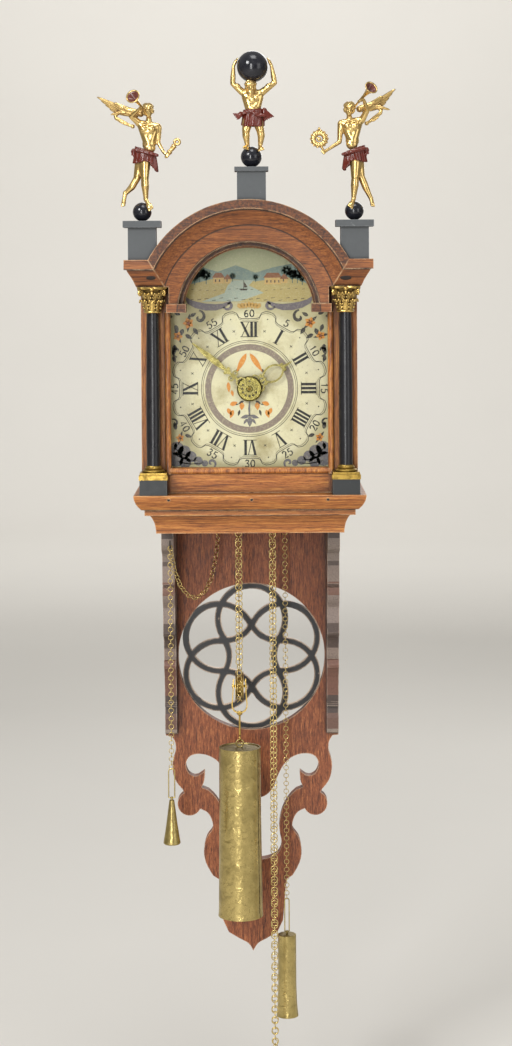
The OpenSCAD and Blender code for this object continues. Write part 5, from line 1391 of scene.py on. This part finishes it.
    bm = bmesh.new()
    mouth, bell = Vector(part["mouth"]), Vector(part["bell"])
    long = (bell - mouth).length
    wide = part["bell_r"]
    lathe(bm, mouth, bell, ((-1.6, 1.5), (-1.0, 2.0), (0, 1.5), (1.4, 1.1), (long * 0.3, 1.2),
                            (long * 0.32, 2.0),
                            (long * 0.36, 1.4), (long * 0.62, 1.9), (long * 0.8, 3.2), (long * 0.92, 5.4),
                            (long - 0.6, wide - 0.5), (long, wide), (long + 0.7, wide - 0.1),
                            (long + 0.6, wide - 1.2),
                            (long - 0.5, wide - 1.6), (long - 1.4, 4.8), (long * 0.84, 2.6)))
    finish_carving("herald_" + key + "_trumpet", bm, origin, mirror, leaf)
    bm = bmesh.new()
    lathe(bm, mouth, bell, ((long * 0.8, 2.2), (long * 0.85, 2.9), (long - 1.2, 4.95),
                            (long - 0.35, wide - 1.55),
                            (long - 0.3, wide - 1.75), (long - 1.0, 4.6), (long * 0.86, 1.8)))
    finish_carving("herald_" + key + "_bell_lining", bm, origin, mirror, inside)

    bm = bmesh.new()
    centre = (part["hips"][0] + 0.4, part["hips"][1])
    wrap_cloth(bm, centre, part["hip_r"], 74.5, 58.5, 7, -4.0, 12.0, part["tail_at"])
    thicken(finish_carving("herald_" + key + "_cloth", bm, origin, mirror, cloth))
    bm = bmesh.new()
    knot = Vector((part["hips"][0] - 13.4, -3.4, 72.4))
    lump(bm, knot, (3.0, 2.8, 3.2))
    for k, (x, z) in enumerate(((-3.4, -1.4), (-2.6, -5.6), (0.6, -8.6))):
        feather(bm, knot + Vector((0.6, -0.6, 0)), knot + Vector((x, -1.2 * k, z)), 4.2, 2.6)
    side = Vector((part["hips"][0] + 11.0, -5.2, 67.0))
    for k in range(4):
        feather(bm, side + Vector((-1.8 * k, -0.8 * k, 1.5)),
                side + Vector((2.6 - 2.0 * k, -1.0 * k, -20 + 2.2 * k)),
                4.6, 3.0, 0.8)
    for k in range(5):
        spot = Vector((part["hips"][0] - 10.5 + 5.0 * k, -8.6 - 1.2 * math.sin(k * 0.8), 73.6 - 1.3 * k))
        capsule(bm, spot, 2.3, spot + Vector((5.4, -0.4, -1.6)), 2.1)
    folds = finish_carving("herald_" + key + "_knot", bm, origin, mirror, cloth)
    fuse(folds, 0.7, 2)

    bm = bmesh.new()
    palm = Vector(part["arm_out"][3])
    if key == "left":
        lathe(bm, palm + Vector((-2.4, 0, -3.4)), palm + Vector((9.6, -0.5, 12.2)), (
            (0, 0.6), (0.6, 1.6), (3, 1.8), (6, 2.2), (8, 3.0), (9.4, 3.4), (10.4, 2.6), (12, 2.3), (14, 2.9),
            (16.6, 2.9), (17.8, 3.5), (19.0, 2.8), (19.6, 1.0)))
        hoop(bm, palm + Vector((12.0, -0.6, 15.6)), Vector((1, 0, 0)), Vector((0, 0, 1)), 3.1, 1.7, 12)
    else:
        middle = palm + Vector((5.8, -0.5, 15.4))
        for k in range(14):
            way = k * math.tau / 14
            spot = middle + Vector((6.9 * math.sin(way), 0, 6.9 * math.cos(way)))
            lump(bm, spot, (3.3, 2.8, 3.3))
            for turn in (0.5, -0.5):
                aim = Vector((math.sin(way + turn), 0, math.cos(way + turn)))
                feather(bm, spot, spot + aim * 4.6 + Vector((0, -0.8, 0)), 2.6, 1.6)
        lump(bm, middle + Vector((0, 0, 12.0)), (1.6, 1.6, 2.0))
        lump(bm, middle + Vector((0, 0, -0.5)), (2.6, 2.0, 2.6))
        capsule(bm, middle, 1.3, middle + Vector((4.6, 0, 3.6)), 1.1)
        capsule(bm, palm, 1.4, middle - Vector((1.5, 0, 7)), 1.4)
    finish_carving("herald_" + key + "_token", bm, origin, mirror, leaf)
    return carving


def build_bearer(leaf, cloth):
    """A bearded bearer who holds the globe over his shoulders."""
    low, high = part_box("globe")
    origin = Vector(((low.x + high.x) / 2 - 2 * MM, (low.y + high.y) / 2, (low.z + high.z) / 2 - 107.5 * MM))
    bm = bmesh.new()
    add_head(bm, (-0.4, -4.5, 83.4), 0, 0, 0.96, True)
    capsule(bm, (0.4, -1, 79), 4.0, (1.6, 0, 73), 4.6)
    capsule(bm, (-7.6, 0, 76.4), 4.8, (11.6, 0, 75.6), 4.8)
    capsule(bm, (-5.4, -1, 72), 6.0, (-0.6, 0, 58), 6.6)
    capsule(bm, (9.4, -1, 72), 6.0, (5.2, 0, 58), 6.6)
    lump(bm, (2.0, -1.6, 68.6), (9.0, 6.6, 7.6))
    for s in (-1, 1):
        lump(bm, (2.2 + s * 4.2, -5.6, 71.0), (4.2, 2.6, 3.2), s * 10)
    lump(bm, (2.4, -2.2, 57.4), (8.2, 6.2, 5.6))
    lump(bm, (2.4, 0, 46), (9.6, 7.0, 9.0))
    for x0, elbow, wrist, palm in ((-10.4, (-21.6, -1, 87.4), (-20.6, -3, 108.0), (-17.9, -3, 113.4)),
                                   (14.0, (28.4, -1, 88.2), (24.8, -3, 108.0), (22.1, -3, 113.4))):
        inner = -1 if x0 > 0 else 1
        capsule(bm, (x0, 0, 77.6), 4.6, elbow, 3.3)
        lump(bm, Vector(((x0 + elbow[0]) / 2, -1.4, 84.4)), (4.0, 3.6, 3.4))
        capsule(bm, elbow, 3.2, Vector(elbow).lerp(Vector(wrist), 0.4), 3.4)
        capsule(bm, Vector(elbow).lerp(Vector(wrist), 0.4), 3.3, wrist, 2.0)
        capsule(bm, wrist, 2.0, palm, 2.2)
        for k in range(4):
            capsule(bm, palm, 1.2, Vector(palm) + Vector((inner * (2.6 - 0.5 * k), -2.4 + 1.7 * k, 3.6)),
                    0.9, 8)
    for hip, knee, calf, ankle, toe in (
            ((-4.0, -1, 42), (-6.2, -3, 31.0), (-6.0, -2, 25.0), (-4.6, -0.4, 13.4), (-6.6, -11.4, 8.8)),
            ((8.0, -1, 42), (11.0, -3, 31.0), (12.0, -2, 25.4), (10.8, -0.4, 13.0), (11.8, -11.0, 7.0))):
        capsule(bm, hip, 6.6, knee, 4.9)
        lump(bm, Vector(knee) + Vector((0, -2.6, 0)), (3.2, 2.4, 3.0))
        capsule(bm, knee, 4.6, calf, 4.7)
        capsule(bm, calf, 4.5, ankle, 2.7)
        add_foot(bm, ankle, toe, 8.2)
    carving = finish_carving("bearer_body", bm, origin, False, leaf)
    fuse(carving, 0.7, 6)

    bm = bmesh.new()
    wrap_cloth(bm, (2.4, 0.2), (12.4, 9.4), 57.0, 37.5, 8, 0.6, 3.0, 270)
    thicken(finish_carving("bearer_cloth", bm, origin, False, cloth))
    bm = bmesh.new()
    for k in range(6):
        a = Vector((-9.4 + 4.2 * k, -7.4 - 1.6 * math.sin(0.6 * k), 51.5 + 2.4 * math.sin(1.1 * k)))
        capsule(bm, a, 2.2, a + Vector((4.4, -0.3, 1.0 - 0.5 * k)), 2.0)
    lump(bm, (-12.0, -3, 50.6), (3.4, 3.2, 3.6))
    for k in range(4):
        feather(bm, (-11.6, -3.4 - 0.4 * k, 51.0), (-22.0 + 1.6 * k, -4.4 - 0.8 * k, 51.6 - 2.6 * k), 4.4,
                2.8, 0.8)
    lump(bm, (16.0, -2, 55.0), (3.2, 3.0, 3.8))
    for k in range(5):
        feather(bm, (15.8, -2.4 - 0.4 * k, 57.0), (27.4 - 2.6 * k, -3.6 - 0.8 * k, 47.0 - 1.4 * k), 4.6,
                2.8, -0.8)
    folds = finish_carving("bearer_knots", bm, origin, False, cloth)
    fuse(folds, 0.7, 2)
    return carving


def blade(bm, path, widths, side, thick):
    """A ribbed leaf that follows a path in the plane square to side."""
    rings = []
    for i, point in enumerate(path):
        way = (path[min(i + 1, len(path) - 1)] - path[max(i - 1, 0)]).normalized()
        front = way.cross(side).normalized()
        rings.append([point + side * (x * widths[i] / 2) + front * (y * thick / 2) for x, y in FEATHER])
    skin(bm, rings)


def build_capitals(leaf):
    """The two gilded capitals: bell, two rows of curled leaves, corner volutes and a hollow-sided abacus."""
    low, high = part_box("capitals")
    middle_x = (low.x + high.x) / 2
    half = (high.x - low.x) / 2 - 17.5 * MM
    tall = (high.z - low.z) / MM
    bm = bmesh.new()
    for s in (-1, 1):
        foot = Vector(((middle_x + s * half) / MM, (low.y + high.y) / 2 / MM, low.z / MM))
        lathe(bm, foot, foot + Vector((0, 0, 1)), (
            (0, 9.6), (0.8, 10.5), (2.0, 10.6), (3.0, 9.8), (4.0, 8.6), (12, 8.8), (20, 10.0), (26, 12.6),
            (tall - 3.4, 14.0)))
        for turn, path, widths in (
                (0, ((9.0, 2.6), (9.8, 6), (10.6, 10), (12.0, 13.4), (14.0, 14.8), (15.2, 13.4),
                     (15.0, 12.0)),
                 (5.6, 6.8, 7.4, 7.0, 5.8, 4.0, 2.0)),
                (22.5, ((9.2, 8), (10.0, 13), (11.0, 18), (12.8, 21.6), (15.0, 23.0), (16.3, 21.6),
                        (16.1, 20.2)),
                 (5.4, 6.4, 7.0, 6.6, 5.4, 3.6, 1.8))):
            for k in range(8):
                way = math.radians(turn + k * 45)
                out = Vector((math.cos(way), math.sin(way), 0))
                side = Vector((-math.sin(way), math.cos(way), 0))
                line = [foot + out * r + Vector((0, 0, z)) for r, z in path]
                blade(bm, line, widths, side, 2.2)
                for place in (1, 2, 3, 4):
                    for hand in (-1, 1):
                        spot = line[place] + side * (hand * widths[place] * 0.46) + out * 0.5
                        lump(bm, spot, (1.25, 1.25, 1.5))
        for k in range(4):
            way = math.radians(45 + 90 * k)
            out = Vector((math.cos(way), math.sin(way), 0))
            curl = [foot + out * r + Vector((0, 0, z)) for r, z in (
                (11.4, 17.0), (13.4, 22.0), (15.8, 25.4), (18.6, 27.2), (21.0, 26.4), (21.9, 24.0),
                                                                    (20.6, 22.0),
                (18.6, 22.2), (18.0, 23.8), (19.3, 24.8))]
            for a, b in zip(curl, curl[1:]):
                capsule(bm, a, 1.55, b, 1.5, 8)
            front = Vector((math.cos(way + math.pi / 4), math.sin(way + math.pi / 4), 0))
            lump(bm, foot + front * 15.4 + Vector((0, 0, tall - 2.6)), (2.9, 2.9, 2.6))
            lump(bm, foot + front * 13.6 + Vector((0, 0, tall - 7.0)), (2.0, 2.0, 3.0))
        rim = []
        for k in range(4):
            turn = Matrix.Rotation(math.radians(90 * k), 3, "Z")
            for step in range(-4, 5):
                t = step * 3.25
                rim.append(turn @ Vector((46 - math.sqrt(961 - t * t), t, 0)))
        rings = [[foot + point * scale + Vector((0, 0, z)) for point in rim]
                 for scale, z in ((0.86, tall - 3.2), (0.93, tall - 2.4), (0.94, tall - 1.9),
                                  (0.99, tall - 1.7),
                                  (0.99, tall))]
        skin(bm, rings)
    return piece_in_mm("carved_capitals", bm, leaf, "hood", 50)


def build_stirrup(brass):
    """The bent strap that hangs from the pulley's pin, with its collar, rod and eye."""
    low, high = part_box("pulley_block")
    x = (low.x + high.x) / 2 / MM
    y = (low.y + high.y) / 2 / MM
    wheel_low, wheel_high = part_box("pulley_wheel")
    pin = (wheel_low.z + wheel_high.z) / 2 / MM
    foot = low.z / MM
    bm = bmesh.new()
    outline = ((-7.4, 9.0), (-7.7, 4.0), (-7.9, -4.0), (-8.5, -14.0), (-9.3, -22.0), (-9.0, -26.5),
               (-7.0, -30.4),
               (-3.8, -32.4), (0.0, -33.0))
    points = list(outline) + [(-px, pz) for px, pz in outline[-2::-1]]
    widths = [3.0, 5.6, 6.4] + [5.4] * (len(points) - 6) + [6.4, 5.6, 3.0]
    rings = []
    for i, (px, pz) in enumerate(points):
        ax, az = points[max(i - 1, 0)]
        bx, bz = points[min(i + 1, len(points) - 1)]
        run = math.hypot(bx - ax, bz - az)
        nx, nz = (bz - az) / run * 0.65, -(bx - ax) / run * 0.65
        w = widths[i] / 2
        rings.append([(x + px + nx, y - w, pin + pz + nz), (x + px + nx, y + w, pin + pz + nz),
                      (x + px - nx, y + w, pin + pz - nz), (x + px - nx, y - w, pin + pz - nz)])
    skin(bm, rings)
    lathe(bm, (x - 9.4, y, pin), (x + 9.4, y, pin),
          ((0, 1.0), (0.3, 2.4), (1.2, 2.6), (1.4, 1.6), (17.4, 1.6),
                                                     (17.6, 2.6), (18.5, 2.4), (18.8, 1.0)), 20)
    lathe(bm, (x, y, pin - 31.2), (x, y, foot + 8.4), (
        (0, 2.6), (0.9, 2.9), (1.8, 2.2), (2.6, 3.6), (4.0, 3.4), (5.2, 1.5), (6.0, 1.2),
        (pin - 31.2 - foot - 8.4, 1.2)), 20)
    hoop(bm, Vector((x, y, foot + 4.9)), Vector((0, 0, 1)), Vector((0, 1, 0)), 3.8, 1.1, 20)
    return piece_in_mm("pulley_stirrup", bm, brass, "main_weight", 40)


class TAILCLOCK_OT_fittings(bpy.types.Operator):
    """Carve the gilded capitals and bend the pulley's stirrup"""

    bl_idname = "tailclock.fittings"
    bl_label = "Capitals and stirrup"

    def execute(self, context):
        metal = context.scene.tailclock_metal
        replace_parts(build_capitals(gold_leaf("Gilded capital", "#d2b268", "#3a1d0c", 0.45)), "capitals")
        brass = old_metal("Bent strap brass", metal.brass, metal.tarnish, 0.28, 8.0, 0.6, stain_most=0.4)
        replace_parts(build_stirrup(brass), "pulley_block")
        return {"FINISHED"}


class TAILCLOCK_OT_figures(bpy.types.Operator):
    """Carve and gild the globe bearer and the two heralds"""

    bl_idname = "tailclock.figures"
    bl_label = "Figures"

    def execute(self, context):
        metal = context.scene.tailclock_metal
        paint = context.scene.tailclock_paint
        leaf = gold_leaf("Gold leaf on carved wood", metal.gold, metal.bole)
        cloth = black_lacquer("Red-brown lacquer on carved cloth", paint.cloth)
        lining = black_lacquer("Rose-brown lacquer in the bells", "#4c2620")
        clothe(leaf, "globe_bearer", "herald_left", "herald_right")
        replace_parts(build_herald("left", leaf, cloth, lining), "herald_left")
        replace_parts(build_herald("right", leaf, cloth, lining), "herald_right")
        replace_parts(build_bearer(leaf, cloth), "globe_bearer")
        return {"FINISHED"}


class TAILCLOCK_OT_stage(bpy.types.Operator):
    """Set the floor, the soft light and the camera"""

    bl_idname = "tailclock.stage"
    bl_label = "Stage"

    def execute(self, context):
        stage = context.scene.tailclock_stage
        scene = context.scene
        scene.view_settings.view_transform = "Standard"

        # A round room, wide enough that the camera stands inside its wall in every other view too.
        bm = bmesh.new()
        room, cove = 14.0, 1.8
        profile = [(0.001, 0.0), (6.0, 0.0), (room - cove, 0.0)]
        profile += [(room - cove + cove * math.sin(math.radians(a)), cove - cove * math.cos(math.radians(a)))
                    for a in range(10, 91, 10)]
        profile.append((room, 5.0))
        skin(bm, [[(reach * math.cos(k * math.tau / 72), reach * math.sin(k * math.tau / 72), height)
                   for k in range(72)] for reach, height in profile], closed_ends=False)
        mesh = bpy.data.meshes.new("floor")
        bm.to_mesh(mesh)
        bm.free()
        mesh.polygons.foreach_set("use_smooth", [True] * len(mesh.polygons))
        floor = bpy.data.objects.new("floor", mesh)
        floor.location = (0, 8.0 - room, -stage.floor_drop)
        scene.collection.objects.link(floor)
        mesh.materials.append(plain_floor("Pale plaster floor", stage.floor_colour))

        world = bpy.data.worlds.new("Soft studio")
        world.use_nodes = True
        scene.world = world
        tree = world.node_tree
        tree.nodes.clear()
        soft = add(tree, "Background", {"Color": linear("#f4f2ee"), "Strength": 0.5})
        seen = add(tree, "Background", {"Color": linear("#e4e2dd"), "Strength": 1.0})
        path = add(tree, "LightPath")
        mixed = add(tree, "MixShader", links={0: path.outputs["Is Camera Ray"], 1: soft.outputs[0],
                                              2: seen.outputs[0]})
        add(tree, "OutputWorld", links={"Surface": mixed.outputs[0]})

        for name, place, aim, power, width, tall in (
            ("key", (-1.7, -2.3, 1.5), (0, 0, -0.35), 62, 0.9, 0.9),
            ("front", (-0.5, -3.1, 0.0), (0, 0, -0.45), 36, 0.42, 2.0),
            ("fill", (2.2, -2.2, 0.2), (0, 0, -0.4), 14, 1.2, 1.8),
            ("top", (0.2, -0.9, 2.2), (0, -0.1, -0.3), 20, 1.0, 1.0),
            ("back", (0.6, 2.6, 0.9), (0, 0, -0.4), 22, 1.6, 1.6),
            ("backdrop", (0, 4.4, 2.4), (0, 8.0, 0.6), 120, 4.0, 1.2),
        ):
            lamp = bpy.data.lights.new(name, "AREA")
            lamp.energy = power
            lamp.shape = "RECTANGLE"
            lamp.size = width
            lamp.size_y = tall
            holder = bpy.data.objects.new(name, lamp)
            holder.location = place
            holder.rotation_euler = (Vector(aim) - Vector(place)).to_track_quat("-Z", "Y").to_euler()
            scene.collection.objects.link(holder)

        lens = bpy.data.cameras.new("camera")
        lens.sensor_fit = "VERTICAL"
        lens.sensor_height = 36.0
        lens.lens = stage.lens
        lens.shift_y = stage.shift
        lens.clip_start = 0.05
        camera = bpy.data.objects.new("camera", lens)
        camera.location = (stage.camera_side, -stage.camera_distance, stage.camera_height)
        look = Matrix.Rotation(stage.pan, 4, "Z") @ Matrix.Rotation(math.radians(90) - stage.tilt, 4, "X")
        camera.rotation_euler = (look @ Matrix.Rotation(stage.roll, 4, "Z")).to_euler()
        scene.collection.objects.link(camera)
        scene.camera = camera
        return {"FINISHED"}


class TAILCLOCK_PT_panel(bpy.types.Panel):
    """Lists the builders and their settings"""

    bl_idname = "TAILCLOCK_PT_panel"
    bl_label = "Tail Clock"
    bl_space_type = "VIEW_3D"
    bl_region_type = "UI"
    bl_category = "Tail Clock"

    def draw(self, context):
        for operator in OPERATORS:
            self.layout.operator(operator.bl_idname)
        for name, group in SETTINGS.items():
            box = self.layout.box()
            for field in group.__annotations__:
                box.prop(getattr(context.scene, name), field)


OPERATORS = (TAILCLOCK_OT_stage, TAILCLOCK_OT_woodwork, TAILCLOCK_OT_metalwork, TAILCLOCK_OT_dial,
             TAILCLOCK_OT_fittings, TAILCLOCK_OT_figures)
SETTINGS = {"tailclock_stage": ClockStage, "tailclock_wood": ClockWood, "tailclock_metal": ClockMetal,
            "tailclock_paint": ClockPaint}


def register():
    """Registers the settings, the operators and the panel."""
    for group in SETTINGS.values():
        bpy.utils.register_class(group)
    for name, group in SETTINGS.items():
        setattr(bpy.types.Scene, name, bpy.props.PointerProperty(type=group))
    for operator in OPERATORS:
        bpy.utils.register_class(operator)
    bpy.utils.register_class(TAILCLOCK_PT_panel)


def unregister():
    """Takes them out again."""
    bpy.utils.unregister_class(TAILCLOCK_PT_panel)
    for operator in reversed(OPERATORS):
        bpy.utils.unregister_class(operator)
    for name in SETTINGS:
        delattr(bpy.types.Scene, name)
    for group in reversed(SETTINGS.values()):
        bpy.utils.unregister_class(group)


def main():
    """Builds the looks."""
    register()
    bpy.ops.tailclock.stage()
    bpy.ops.tailclock.woodwork()
    bpy.ops.tailclock.metalwork()
    bpy.ops.tailclock.dial()
    bpy.ops.tailclock.fittings()
    bpy.ops.tailclock.figures()


if __name__ == "__main__":
    main()
